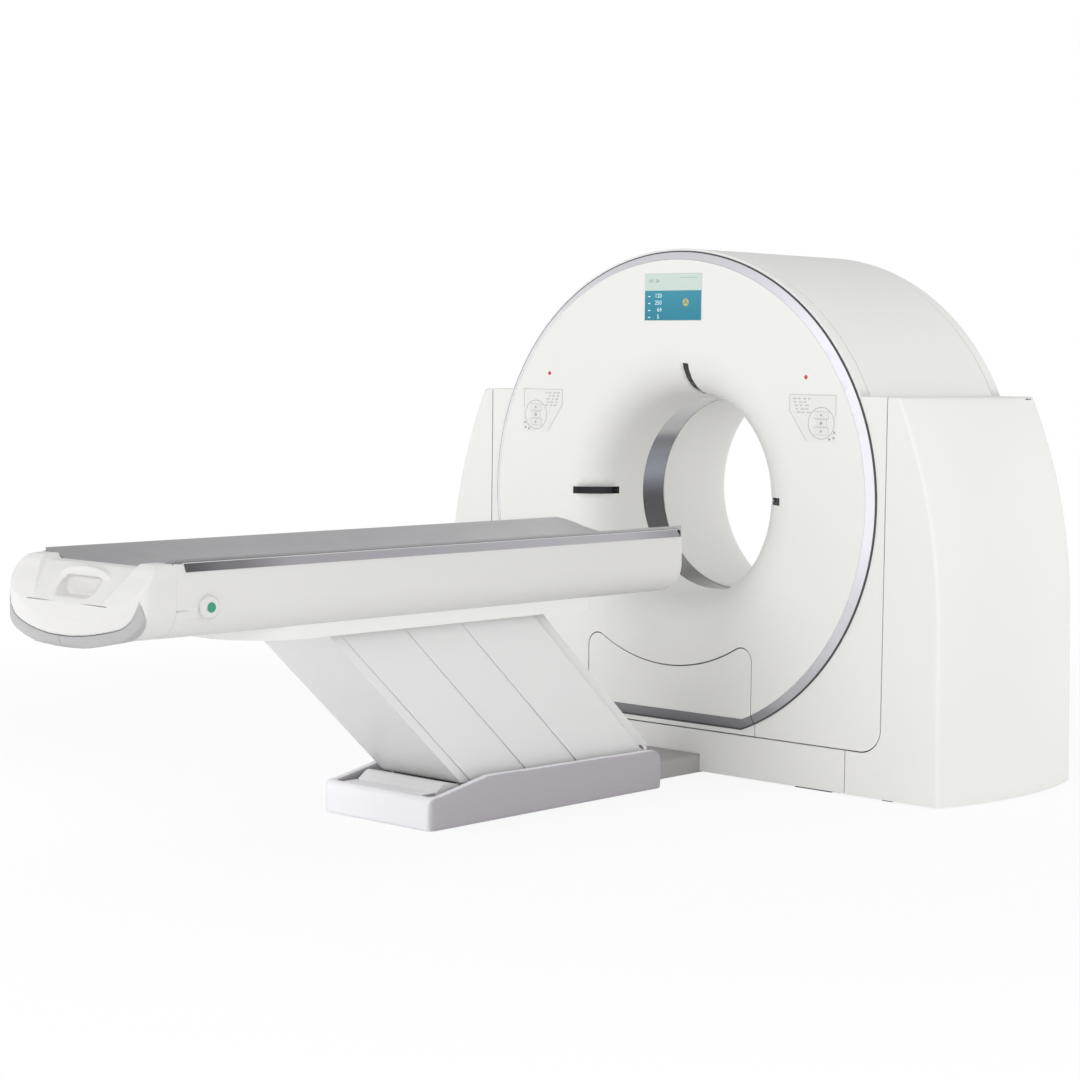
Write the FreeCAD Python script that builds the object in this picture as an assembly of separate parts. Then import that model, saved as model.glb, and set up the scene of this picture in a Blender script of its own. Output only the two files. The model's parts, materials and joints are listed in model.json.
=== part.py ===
"""CT scanner: a ring-shaped gantry with a rotating frame inside, and a patient table on a parallelogram lift.

Millimetres. Z is up, X runs across the gantry and Y runs along the bore: the table is on the -Y side.
The origin is on the floor, straight below the isocentre of the scan plane.
"""
import FreeCAD, Part
import math
import os

os.makedirs("parts", exist_ok=True)
V = FreeCAD.Vector

# ---- driving dimensions: gantry covers ----
ISO_Z = 971.0                # height of the bore axis
BORE_R = 350.0               # inside of the bore window
BORE_LIP = 4.0               # how far the funnels stand in past the bore window
WINDOW_WIDTH = 124.0         # length of the bore window along the bore
WINDOW_WALL = 3.0
DISC_R = 860.0               # outer radius of the round front cover with its trim
DISC_PROUD = 25.0            # the round cover stands this far in front of the frame cover
DISC_FLAT_Z = 171.0          # height of the flat that cuts off the disc at the bottom
TRIM_WIDTH = 30.0            # radial width of the sloped trim
TRIM_FLAT_WIDTH = 41.0       # height of the sloped trim along the flat
TRIM_EDGE = 3.0              # square edge of the trim behind its slope
TRIM_LEDGE = 14.0            # the disc's edge rests on a ledge of this width inside the trim
MOUTH_R = 530.0              # where the front funnel starts to leave the flat face
MOUTH_BEND = 170.0           # bend radius of the front funnel
REAR_MOUTH_R = 393.0         # rear funnel where its bend begins
REAR_BEND = 115.0
FRONT_Y = -300.0             # front plane of the frame cover
COVER_DEPTH = 860.0          # frame cover to rear cover
SEAM = 4.0                   # shadow gap between covers
SKIN = 6.0                   # cover wall
FRAME_HALF = 890.0           # half width of the frame cover
FRAME_BOTTOM_Z = 154.0
FRAME_CORNER_R = 80.0
FRAME_DEPTH = 50.0
DOME_R = 868.0
TOWER_TOP_Z = 1334.0
TOWER_INNER_X = 752.0        # plinth ends and tower feet begin here
HALF_WIDTH = 1120.0          # half width of the gantry at the floor, front plane
KNEE_X = 1108.0              # the side turns from straight to curved here
KNEE_Z = 560.0
SHOULDER_R = 1818.0          # front-view curve of the side above the knee
SIDE_BULGE = 74.0            # the side swells outwards by this at mid depth
REAR_CORNER_R = 90.0
FLOOR_GAP = 4.0              # covers end this far above the floor
ACCESS_HALF = 372.0          # lower access cover
ACCESS_ARC_R = 600.0         # its top edge, concentric with the bore
ACCESS_CORNER_R = 45.0

# ---- driving dimensions: gantry details ----
SCREEN_W = 257.0
SCREEN_H = 165.0
SCREEN_Z = 1669.0
SCREEN_PROUD = 2.0
PANEL_X = 646.0              # middle of each set of keys
PANEL_Z = 1243.0
KEY_TRAVEL = 1.0
KEY_GAP = 1.0
LAMP_X = 580.0
LAMP_Z = 1396.0
LAMP_R = 8.0
SLOT_OUTER_R = 470.0         # laser windows: from this radius on the face ...
SLOT_INNER_R = 362.0         # ... to this one inside the funnel
SLOT_WIDTH = 26.0

# ---- driving dimensions: rotating frame and what carries it ----
ROTOR_PLATE_Y = 90.0
ROTOR_PLATE_T = 35.0
ROTOR_R = 770.0
SLEEVE_R = 390.0
SLEEVE_T = 14.0
SLEEVE_END_Y = 240.0
BEARING_OUTER_R = 470.0
BEARING_Y = 148.0
BEARING_W = 44.0
RUNNING_FIT = 0.1
STATOR_Y = 150.0
STATOR_T = 40.0
STATOR_TOP = 640.0
STATOR_HALF = 690.0
BEAM_H = 120.0
BEAM_W = 150.0
BEAM_X = 545.0
UPRIGHT_X = (800.0, 840.0)   # uprights that carry the frame cover and the rear cover
SIDE_UPRIGHT_X = (900.0, 940.0)  # and the towers' covers
UPRIGHT_TOP_Z = 560.0
ANCHOR_R = 9.0
ANCHOR_SIZE_X = 1240.0
ANCHOR_SIZE_Y = 560.0
TUBE_R = 105.0
TUBE_AT = 612.0              # radius at which the X-ray tube turns
DETECTOR_R = 1035.0          # distance from the tube's focus to the detector face
DETECTOR_T = 75.0
DETECTOR_HALF_DEG = 25.0
PULLEY_R = 60.0
PULLEY_X = 600.0
PULLEY_Z = 240.0
BELT_W = 28.0
BELT_T = 4.0
BELT_GAP = 0.3

# ---- driving dimensions: patient table ----
BASE_FRONT_Y = -1750.0
BASE_REAR_Y = -631.0
BASE_HALF = 243.0
BASE_RIM = 30.0
BASE_FRONT_H = 104.0
BASE_SIDE_H = 146.0
BASE_REAR_H = 135.0
PIVOT_Z = 130.0
UPPER_PIVOT_Z = 665.0
LIFT_ANGLE = 42.0            # slope of the lift's links above the floor, table up
LIFT_RANGE = 30.0            # they turn down by this for the lowest place
FRONT_ARM_Y = -1380.0
REAR_ARM_Y = -800.0
ARM_X = 105.0                # inner face of each arm
ARM_T = 30.0
ARM_DEPTH = 60.0
SHAFT_R = 15.0
OPEN_FIT = 0.5               # clearance at the upper end of the second link of each pair
SIDE_PLATE_X = 140.0
SIDE_PLATE_T = 10.0
COVER_PIVOTS_Y = (-1540.0, FRONT_ARM_Y, -1135.0, REAR_ARM_Y, -648.0)
COVER_SPANS = ((-1560.0, -1490.0), (-1515.0, -1230.0), (-1255.0, -990.0), (-1015.0, -685.0), (-710.0, -622.0))
COVER_X = 176.0              # outer face of the front cover's side planks
COVER_STEP = 4.0             # from one layer of planks to the next
COVER_LAYERS = (0, 1, 2, 3, -1)
COVER_NOSE_R = 10.0          # round ends of the plates that carry the covers' pins
COVER_T = 2.5
COVER_PIN_R = 5.0
FAIRING_HALF = 240.0
FAIRING_Z = 635.0
FAIRING_FRONT_Y = -2290.0
FAIRING_REAR_Y = -1030.0
FAIRING_NOSE = 170.0
FAIRING_T = 4.0
BODY_FOOT_Y = -2915.0
BODY_HEAD_Y = -620.0
BODY_HALF = 307.0
BODY_BOTTOM_Z = 672.0
BODY_TOP_Z = 884.0
BODY_CORNER_R = 95.0
BODY_T = 5.0
BODY_BEVEL = 14.0
CAP_DEPTH = 28.0
CAP_HALF = 285.0
CAP_BOTTOM_Z = 655.0
CAP_CORNER_R = 130.0
BUMPER_W = 22.0
CRADLE_FOOT_Y = -2780.0
CRADLE_HEAD_Y = -570.0
CRADLE_HALF = 288.0
CRADLE_TOP_Z = 893.0
CRADLE_DIP = 50.0
CRADLE_BOTTOM_Z = 815.0
CRADLE_CORNER_R = 70.0
DECK_Z = 800.0
DECK_T = 5.0
RAIL_Z = 710.0               # underside of the steel rails in the table body
RAIL_X = 150.0
RAIL_W = 40.0
SLIDE_GAP = 0.3
BUTTON_Y = -2675.0
BUTTON_Z = 760.0
BUTTON_R = 14.0
BUTTON_TRAVEL = 4.0
DUCT_HALF = 130.0
DUCT_H = 64.0

# ---- derived places ----
REAR_Y = FRONT_Y + COVER_DEPTH
FACE_Y = FRONT_Y - DISC_PROUD
MID_Y = (FRONT_Y + REAR_Y) / 2
WINDOW_Y = WINDOW_WIDTH / 2
LIP_R = BORE_R - BORE_LIP
FACE_R = DISC_R - TRIM_WIDTH
DISC_HOLE_R = FACE_R - TRIM_LEDGE
LINK_RISE = UPPER_PIVOT_Z - PIVOT_Z
LINK = LINK_RISE / math.sin(math.radians(LIFT_ANGLE))
LINK_BACK = LINK * math.cos(math.radians(LIFT_ANGLE))
COVER_LEVELS = tuple(COVER_X + COVER_STEP * k for k in COVER_LAYERS)
AXIS_Y = V(0, 1, 0)


# ---- small helpers ----
def save(name, shape):
    shape.exportStep("parts/" + name + ".step")


def box(x0, x1, y0, y1, z0, z1):
    return Part.makeBox(x1 - x0, y1 - y0, z1 - z0, V(x0, y0, z0))


def rod_y(r, y0, y1, x=0.0, z=ISO_Z):
    return Part.makeCylinder(r, y1 - y0, V(x, y0, z), AXIS_Y)


def rod_x(r, x0, x1, y, z):
    return Part.makeCylinder(r, x1 - x0, V(x0, y, z), V(1, 0, 0))


def ring_y(r_out, r_in, y0, y1, x=0.0, z=ISO_Z):
    return rod_y(r_out, y0, y1, x, z).cut(rod_y(r_in, y0 - 1, y1 + 1, x, z))


def fuse(first, *others):
    return first.multiFuse([s for s in others]).removeSplitter()


def cut(first, *others):
    for s in others:
        first = first.cut(s)
    return first


def mirror(shape):
    return shape.mirror(V(0, 0, 0), V(1, 0, 0))


def both_sides(shape):
    return Part.makeCompound([shape, mirror(shape)])


def edges_through(points):
    """Edges from a list of points, where a tuple of two points (middle, end) draws an arc."""
    edges = []
    at = points[0]
    for p in points[1:]:
        if isinstance(p, tuple):
            edges.append(Part.Arc(at, p[0], p[1]).toShape())
            at = p[1]
        else:
            if at.distanceToPoint(p) > 1e-6:
                edges.append(Part.makeLine(at, p))
            at = p
    if at.distanceToPoint(points[0]) > 1e-6:
        edges.append(Part.makeLine(at, points[0]))
    return edges


def face_of(points):
    return Part.Face(Part.Wire(edges_through(points)))


def slab_y(points, y0, y1):
    """A prism along Y from points given at y = 0."""
    solid = face_of(points).extrude(V(0, y1 - y0, 0))
    solid.translate(V(0, y0, 0))
    return solid


def slab_x(points, x0, x1):
    solid = face_of(points).extrude(V(x1 - x0, 0, 0))
    solid.translate(V(x0, 0, 0))
    return solid


def slab_z(points, z0, z1):
    solid = face_of(points).extrude(V(0, 0, z1 - z0))
    solid.translate(V(0, 0, z0))
    return solid


def xz(x, z):
    return V(x, 0, z)


def yz(y, z):
    return V(0, y, z)


def turned(points):
    """Revolves a section of (radius, y) points about the bore axis; tuples of two points are arcs."""
    def place(p):
        return (place(p[0]), place(p[1])) if isinstance(p[0], tuple) else V(p[0], p[1], ISO_Z)

    face = face_of([place(p) for p in points])
    return face.revolve(V(0, 0, ISO_Z), AXIS_Y, 360)


# ---- outlines of the gantry seen from the front ----
def frame_outline(grow=0.0):
    """Frame and rear cover: square shoulders under a round top. grow moves every edge outwards."""
    half = FRAME_HALF + grow
    bottom = FRAME_BOTTOM_Z - grow
    top = TOWER_TOP_Z + grow
    r = DOME_R + grow
    corner = FRAME_CORNER_R + grow
    shoulder = math.sqrt(r * r - (top - ISO_Z) ** 2)
    d = corner * (1 - math.sqrt(0.5))
    return [
        xz(-half + corner, bottom),
        xz(half - corner, bottom),
        (xz(half - d, bottom + d), xz(half, bottom + corner)),
        xz(half, top),
        xz(shoulder, top),
        (xz(0, ISO_Z + r), xz(-shoulder, top)),
        xz(-half, top),
        xz(-half, bottom + corner),
        (xz(-half + d, bottom + d), xz(-half + corner, bottom)),
    ]


def disc_column(r, flat_z, y0, y1):
    """A round plate cut off flat at the bottom."""
    plate = rod_y(r, y0, y1)
    return plate.cut(box(-r, r, y0 - 1, y1 + 1, ISO_Z - r - 1, flat_z))


def access_outline(grow=0.0):
    """Lower access cover: straight sides, rounded peaks and a top edge that follows the bore."""
    half = ACCESS_HALF + grow
    arc_r = ACCESS_ARC_R - grow
    corner = ACCESS_CORNER_R + grow
    cx = half - corner
    reach = arc_r + corner
    cz = ISO_Z - math.sqrt(reach * reach - cx * cx)
    touch_x = cx * arc_r / reach
    touch_z = ISO_Z - (ISO_Z - cz) * arc_r / reach
    lean = math.atan2(ISO_Z - cz, -cx) / 2
    mid = xz(cx + corner * math.cos(lean), cz + corner * math.sin(lean))
    mid_left = xz(-mid.x, mid.z)
    bottom = FRAME_BOTTOM_Z - SEAM
    return [
        xz(-half, bottom),
        xz(half, bottom),
        xz(half, cz),
        (mid, xz(touch_x, touch_z)),
        (xz(0, ISO_Z - arc_r), xz(-touch_x, touch_z)),
        (mid_left, xz(-half, cz)),
    ]


# ---- gantry covers ----
def tower_plan(inset, inner_x):
    """Right-hand tower seen from above at knee height: swelling side, rounded rear corner."""
    half = COVER_DEPTH / 2
    swell_r = (half * half + SIDE_BULGE ** 2) / (2 * SIDE_BULGE)
    centre_x = KNEE_X + SIDE_BULGE - swell_r
    r = swell_r - inset
    y0 = FRONT_Y + inset
    y1 = REAR_Y - inset
    corner = REAR_CORNER_R - inset
    corner_y = y1 - corner
    corner_x = centre_x + math.sqrt((r - corner) ** 2 - (corner_y - MID_Y) ** 2)
    turn = math.atan2(corner_y - MID_Y, corner_x - centre_x)

    def side(y):
        return V(centre_x + math.sqrt(r * r - (y - MID_Y) ** 2), y, KNEE_Z)

    def round_corner(share):
        a = turn + (math.pi / 2 - turn) * share
        return V(corner_x + corner * math.cos(a), corner_y + corner * math.sin(a), KNEE_Z)

    start = round_corner(0.0)
    points = [V(inner_x, y0, KNEE_Z), side(y0)]
    if inset == 0:
        points.append((side(MID_Y), start))
        points += [round_corner(k / 3) for k in range(1, 4)]
    else:
        points += [side(y0 + (start.y - y0) * k / 3) for k in range(1, 3)] + [start, round_corner(1.0)]
    points.append(V(inner_x, y1, KNEE_Z))
    return face_of(points)


def tower_body(inset, inner_x):
    """Right-hand tower as a solid: straight below the knee, turned inwards about a long axis above it."""
    floor = FLOOR_GAP if inset == 0 else -10.0
    top = TOWER_TOP_Z - inset
    plan = tower_plan(inset, inner_x - 40)
    low = plan.extrude(V((HALF_WIDTH - KNEE_X) * (KNEE_Z - floor) / KNEE_Z, 0, floor - KNEE_Z))
    high = plan.revolve(V(KNEE_X - SHOULDER_R, MID_Y, KNEE_Z), AXIS_Y, -36)
    body = fuse(low, high)
    return body.common(box(inner_x, 2000, -2000, 2000, floor, top))


def tower_cover():
    outer = tower_body(0.0, TOWER_INNER_X + SEAM / 2)
    inner = tower_body(SKIN, TOWER_INNER_X - 50)
    zone = slab_y(frame_outline(SEAM), FRONT_Y - 1, FRONT_Y + FRAME_DEPTH + SEAM)
    rear_zone = slab_y(frame_outline(SEAM), REAR_Y - FRAME_DEPTH - SEAM, REAR_Y + 1)
    dome_zone = rod_y(DOME_R + SEAM / 2, FRONT_Y - 1, REAR_Y + 1)
    return cut(outer, inner, zone, rear_zone, dome_zone)


def frame_cover():
    """Flat frame behind the round front cover: a shallow pan with a round hole that is cut off flat below."""
    pan = slab_y(frame_outline(), FRONT_Y, FRONT_Y + FRAME_DEPTH)
    pan = pan.cut(slab_y(frame_outline(-SKIN), FRONT_Y + SKIN, FRONT_Y + FRAME_DEPTH + 1))
    hole = disc_column(DISC_HOLE_R, DISC_FLAT_Z + TRIM_FLAT_WIDTH, FRONT_Y - 1, FRONT_Y + SKIN + 1)
    gap = box(-ACCESS_HALF - SEAM / 2, ACCESS_HALF + SEAM / 2, FRONT_Y - 1, FRONT_Y + FRAME_DEPTH + 1,
              FRAME_BOTTOM_Z - 1, ISO_Z - ACCESS_ARC_R)
    return cut(pan, hole, gap)


def trim_ring():
    """Sloped silver trim round the disc; the piece across the access cover comes off with it."""
    square = rod_y(DISC_R, FRONT_Y - TRIM_EDGE, FRONT_Y)
    slope = Part.makeCone(FACE_R, DISC_R, DISC_PROUD - TRIM_EDGE, V(0, FACE_Y, ISO_Z), AXIS_Y)
    ring = square.fuse(slope)
    below = ISO_Z - DISC_R - 5
    flat_z = DISC_FLAT_Z + TRIM_FLAT_WIDTH
    wedge = slab_x([yz(FACE_Y - 1, below), yz(FRONT_Y + 1, below), yz(FRONT_Y + 1, DISC_FLAT_Z),
                    yz(FRONT_Y - TRIM_EDGE, DISC_FLAT_Z), yz(FACE_Y, flat_z), yz(FACE_Y - 1, flat_z)],
                   -DISC_R, DISC_R)
    seat = disc_column(FACE_R, flat_z, FACE_Y - 1, FACE_Y + SKIN)
    hole = disc_column(DISC_HOLE_R, flat_z + TRIM_LEDGE, FACE_Y - 1, FRONT_Y + 1)
    ring = cut(ring, wedge, seat, hole).removeSplitter()
    lower = ISO_Z - ACCESS_ARC_R
    outside = box(-ACCESS_HALF - SEAM / 2, ACCESS_HALF + SEAM / 2, FACE_Y - 1, FRONT_Y + 1, below, lower)
    inside = box(-ACCESS_HALF + SEAM / 2, ACCESS_HALF - SEAM / 2, FACE_Y - 1, FRONT_Y + 1, below, lower)
    return Part.makeCompound([ring.cut(outside), ring.common(inside)])


FUNNEL_TURN = 84.0           # degrees that the front funnel's bend turns through
FUNNEL_STEPS = 6             # the bend is turned as this many short cones


def funnel_points(steps, wall=0.0):
    """The bend of the front funnel as (radius, y) points from the bore outwards, wall deep behind the skin."""
    r = MOUTH_BEND - wall
    turns = [math.radians(FUNNEL_TURN * (1 - k / steps)) for k in range(steps + 1)]
    return [(MOUTH_R - r * math.sin(a), FACE_Y + MOUTH_BEND - r * math.cos(a)) for a in turns]


def slot_cutter(angle):
    """A straight slot from the face into the mouth of the funnel, at an angle round the bore."""
    half = SLOT_WIDTH / 2
    bar = box(SLOT_INNER_R, SLOT_OUTER_R, FACE_Y - 1, FACE_Y + SLOT_DEPTH, ISO_Z - half, ISO_Z + half)
    return bar.rotate(V(0, 0, ISO_Z), AXIS_Y, -angle)


SLOT_ANGLES = (0.0, 84.0, 180.0)
SLOT_DEPTH = 150.0


def disc_cover():
    """Round front cover: flat face, then a smooth funnel down to the bore window."""
    rim = FACE_R - SEAM / 4
    skin = turned(
        [(LIP_R, -WINDOW_Y)] + funnel_points(FUNNEL_STEPS) + [(rim, FACE_Y), (rim, FACE_Y + SKIN)]
        + funnel_points(2, SKIN)[::-1] + [(BORE_R + SKIN, -WINDOW_Y)]
    )
    low = DISC_FLAT_Z + TRIM_FLAT_WIDTH + SEAM / 4
    below = box(-DISC_R, DISC_R, FACE_Y - 1, FRONT_Y, ISO_Z - DISC_R, low)
    opening = slab_y(access_outline(SEAM / 2), FACE_Y - 1, FRONT_Y)
    cover = cut(skin, below, opening, *[slot_cutter(a) for a in SLOT_ANGLES])
    for side in (-1, 1):
        cover = cut(cover, *panel_pocket(side))
    return cover.cut(screen_block(0.0, FACE_Y - 1, FACE_Y + SKIN + 1))


def access_cover():
    """Lower centre cover: a pan flush with the disc, and a back plate that carries its piece of the trim."""
    flat = DISC_FLAT_Z + TRIM_FLAT_WIDTH + SEAM / 4
    rim = FACE_R - SEAM / 4
    outer = slab_y(access_outline(-SEAM / 2), FACE_Y, FRONT_Y + SKIN).common(disc_column(rim, flat, FACE_Y, REAR_Y))
    inner = slab_y(access_outline(-SEAM / 2 - SKIN), FACE_Y + SKIN, FRONT_Y + SKIN + 1)
    inner = inner.common(disc_column(rim - SKIN, flat + TRIM_LEDGE, FACE_Y + SKIN, REAR_Y))
    half = ACCESS_HALF - SEAM / 2
    ledge = box(-half, half, FACE_Y + SKIN, FRONT_Y, flat - SEAM, flat + TRIM_LEDGE)
    back = box(-half, half, FRONT_Y, FRONT_Y + SKIN, FRAME_BOTTOM_Z, flat + TRIM_LEDGE)
    trim = ring_y(DISC_R + 1, DISC_HOLE_R, FACE_Y + SKIN, FRONT_Y)
    tab = box(half - 20, half + 20, FRONT_Y + SKIN, FRONT_Y + 2 * SKIN, FRAME_BOTTOM_Z + 12, FRAME_BOTTOM_Z + 52)
    return fuse(cut(fuse(outer.cut(inner), back), ledge, trim), tab, mirror(tab))


def plinth_covers():
    """Low strip covers under the frame cover, front and rear."""
    half = TOWER_INNER_X - SEAM / 2
    top = FRAME_BOTTOM_Z - SEAM
    front = box(-half, half, FRONT_Y, FRONT_Y + FRAME_DEPTH, FLOOR_GAP, top)
    front = front.cut(box(-half + SKIN, half - SKIN, FRONT_Y + SKIN, FRONT_Y + FRAME_DEPTH + 1, 0, top - SKIN))
    front = front.cut(box(-DUCT_HALF, DUCT_HALF, FRONT_Y - 1, FRONT_Y + SKIN + 1, 0, DUCT_H))
    rear = box(-half, half, REAR_Y - FRAME_DEPTH, REAR_Y, FLOOR_GAP, top)
    rear = rear.cut(box(-half + SKIN, half - SKIN, REAR_Y - FRAME_DEPTH - 1, REAR_Y - SKIN, 0, top - SKIN))
    return Part.makeCompound([front, rear])


def dome_cover():
    """Curved top cover; lips under its edges reach below the frame cover and the rear cover."""
    y0 = FRONT_Y + FRAME_DEPTH + SEAM
    y1 = REAR_Y - FRAME_DEPTH - SEAM
    inner = DOME_R - SKIN
    shell = ring_y(DOME_R, inner, y0, y1)
    lips = [ring_y(inner, inner - SKIN, y0 - 16, y0 + 20), ring_y(inner, inner - SKIN, y1 - 20, y1 + 16)]
    keep_z = TOWER_TOP_Z - 2 * SKIN
    return fuse(shell, *lips).cut(box(-DOME_R - 1, DOME_R + 1, FRONT_Y, REAR_Y, 0, keep_z))


def rear_cover():
    """One moulding: flat rear wall with the rear funnel."""
    pan = slab_y(frame_outline(), REAR_Y - FRAME_DEPTH, REAR_Y)
    pan = pan.cut(slab_y(frame_outline(-SKIN), REAR_Y - FRAME_DEPTH - 1, REAR_Y - SKIN))
    mouth = REAR_MOUTH_R + REAR_BEND
    bend_y = REAR_Y - REAR_BEND

    def bend(steps, wall):
        r = REAR_BEND - wall
        turns = [math.pi / 2 * k / steps for k in range(steps + 1)]
        return [(mouth - r * math.cos(a), bend_y + r * math.sin(a)) for a in turns]

    pan = pan.cut(rod_y(mouth, REAR_Y - SKIN - 1, REAR_Y + 1))
    skin = turned([(LIP_R, WINDOW_Y)] + bend(5, 0.0) + bend(1, SKIN)[::-1] + [(BORE_R + SKIN, WINDOW_Y)])
    return fuse(pan, skin)


# ---- gantry details ----
def screen_block(grow, y0, y1):
    half = SCREEN_W / 2 + grow
    return box(-half, half, y0, y1, SCREEN_Z - SCREEN_H / 2 - grow, SCREEN_Z + SCREEN_H / 2 + grow)


def display_screen():
    front = screen_block(0.0, FACE_Y - SCREEN_PROUD, FACE_Y + 2 * SKIN)
    edges = [e for e in front.Edges if e.BoundBox.YMax < FACE_Y]
    return front.makeChamfer(SCREEN_PROUD * 0.6, edges)


PANEL_TOP = 97.0             # control panel: outline above and below the key pad's centre
PANEL_LOW = 64.0
PANEL_OUT = 62.0
PANEL_IN = 134.0
PANEL_T = 2.0
PANEL_PROUD = 0.6
KEY_H = 24.0
KEY_PITCH = 27.0
KEY_PROUD = 2.0


def panel_outline(side, grow=0.0):
    """Control panel: wide at the top, slanting in towards the key pad on the bore's side."""
    x0 = PANEL_X - PANEL_IN - grow
    x1 = PANEL_X + PANEL_OUT + grow
    low = PANEL_Z - PANEL_LOW - grow
    top = PANEL_Z + PANEL_TOP + grow
    points = [(x0, top), (x1, top), (x1, low), (PANEL_X - PANEL_OUT - grow, low), (x0, top - 60.0)]
    return [xz(side * x, z) for x, z in points]


def key_block(side, k, grow, y0, y1):
    """One of the three keys, from the top down; the middle one is square."""
    half = (30.0, 22.0, 30.0)[k] + grow
    z = PANEL_Z + (1 - k) * KEY_PITCH
    x = side * PANEL_X
    return box(x - half, x + half, y0, y1, z - KEY_H / 2 - grow, z + KEY_H / 2 + grow)


def panel_pocket(side):
    """Recess for the printed panel, and the holes behind it for the three keys."""
    recess = slab_y(panel_outline(side), FACE_Y - 1, FACE_Y + PANEL_T - PANEL_PROUD)
    return [recess] + [key_block(side, k, KEY_GAP / 2, FACE_Y - 1, FACE_Y + SKIN + 1) for k in range(3)]


def control_panel(side):
    """Thin printed panel, with a box behind the cover that the keys are pressed into."""
    plate = slab_y(panel_outline(side), FACE_Y - PANEL_PROUD, FACE_Y + PANEL_T - PANEL_PROUD)
    x = side * PANEL_X
    high = 1.5 * KEY_PITCH
    case = box(x - 36, x + 36, FACE_Y + SKIN, FACE_Y + SKIN + 12, PANEL_Z - high, PANEL_Z + high)
    holes = [key_block(side, k, KEY_GAP / 2, FACE_Y - 2, FACE_Y + 12) for k in range(3)]
    return Part.makeCompound([cut(plate, *holes), cut(case, *holes)])


def panel_keys(side):
    """Three keys in a column: upper, middle and lower."""
    keys = {}
    for k, name in enumerate(("upper", "middle", "lower")):
        keys[name] = key_block(side, k, 0.0, FACE_Y - KEY_PROUD, FACE_Y + 12 - KEY_TRAVEL - 0.5)
    return keys


def indicator_lamps():
    """A small lamp above each panel: a lens on the cover's face."""
    return both_sides(rod_y(LAMP_R, FACE_Y - 1.5, FACE_Y, LAMP_X, LAMP_Z))


def laser_windows():
    """Dark windows of the positioning lasers: they fill the slots and lie 2 mm behind the cover's surface."""
    front = funnel_points(FUNNEL_STEPS, 2.0)
    layer = turned(front + funnel_points(2, SKIN)[::-1])
    return Part.makeCompound([layer.common(slot_cutter(a)) for a in SLOT_ANGLES])


def bore_window():
    return ring_y(BORE_R + WINDOW_WALL, BORE_R, -WINDOW_Y, WINDOW_Y)


# ---- gantry structure ----
def base_frame():
    """Welded floor frame: two beams along the bore, cross beams, outriggers with uprights, and anchor holes."""
    foot = BEAM_X + BEAM_W
    front = FRONT_Y + SKIN
    rear = REAR_Y - SKIN
    beam = box(BEAM_X, foot, front, rear, 0, BEAM_H)
    parts = [beam, mirror(beam)]
    a, b = UPRIGHT_X
    c, d = SIDE_UPRIGHT_X
    clear = FRAME_DEPTH - SKIN + SEAM
    for skin, y0, y1 in ((front, front + clear, front + 2 * clear), (rear, rear - 2 * clear, rear - clear)):
        near, far = min(skin, y0), max(skin, y1)
        half = [box(foot, d, y0, y1, 0, 40), box(a, b, y0, y1, 40, UPRIGHT_TOP_Z),
                box(a, b, near, far, UPRIGHT_TOP_Z - 200, UPRIGHT_TOP_Z), box(c, d, near, far, 0, UPRIGHT_TOP_Z)]
        for part in half:
            parts += [part, mirror(part)]
    arm = box(foot, 1030, -150, 250, 0, 16)
    parts += [arm, mirror(arm)]
    parts.append(box(-BEAM_X, BEAM_X, -60, 60, 0, 30))
    parts.append(box(-BEAM_X, BEAM_X, STATOR_Y - 30, STATOR_Y + STATOR_T + 30, 0, BEAM_H))
    frame = fuse(parts[0], *parts[1:])
    for x in (-ANCHOR_SIZE_X / 2, ANCHOR_SIZE_X / 2):
        for y in (-ANCHOR_SIZE_Y / 2, ANCHOR_SIZE_Y / 2):
            frame = frame.cut(Part.makeCylinder(ANCHOR_R, BEAM_H + 2, V(x, MID_Y + y, -1)))
    return frame


def stator_frame():
    """Upright steel plate that holds the main bearing, with its legs on the floor frame."""
    half = STATOR_HALF
    top = ISO_Z + STATOR_TOP
    plate = slab_y([xz(-half, BEAM_H), xz(half, BEAM_H), xz(half, ISO_Z + 400), xz(half - 260, top),
                    xz(260 - half, top), xz(-half, ISO_Z + 400)], STATOR_Y, STATOR_Y + STATOR_T)
    plate = plate.cut(rod_y(BEARING_OUTER_R, STATOR_Y - 1, STATOR_Y + STATOR_T + 1))
    plate = plate.cut(rod_y(MOTOR_SHAFT_R + 6, STATOR_Y - 1, STATOR_Y + STATOR_T + 1, PULLEY_X, PULLEY_Z))
    gusset = slab_x([yz(STATOR_Y + STATOR_T, BEAM_H), yz(REAR_Y - FRAME_DEPTH - 25, BEAM_H), yz(STATOR_Y + STATOR_T, 560)],
                    BEAM_X - 60, BEAM_X - 40)
    return fuse(plate, gusset, mirror(gusset))


def main_bearing():
    """Large rolling bearing, drawn as one ring; the rotor's sleeve turns inside it."""
    return ring_y(BEARING_OUTER_R, SLEEVE_R + RUNNING_FIT, BEARING_Y, BEARING_Y + BEARING_W)


def rotor_drum():
    """Rotating frame: a thick plate that the belt runs round, and the sleeve for bearing and slip ring."""
    back = ROTOR_PLATE_Y + ROTOR_PLATE_T
    inner = SLEEVE_R - SLEEVE_T
    return turned([(inner, ROTOR_PLATE_Y), (ROTOR_R, ROTOR_PLATE_Y), (ROTOR_R, back), (SLEEVE_R, back),
                   (SLEEVE_R, SLEEVE_END_Y), (inner, SLEEVE_END_Y)])


SLIP_R = 462.0
SLIP_Y = 205.0
SLIP_W = 30.0


def slip_ring():
    return ring_y(SLIP_R, SLEEVE_R, SLIP_Y, SLIP_Y + SLIP_W)


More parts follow.
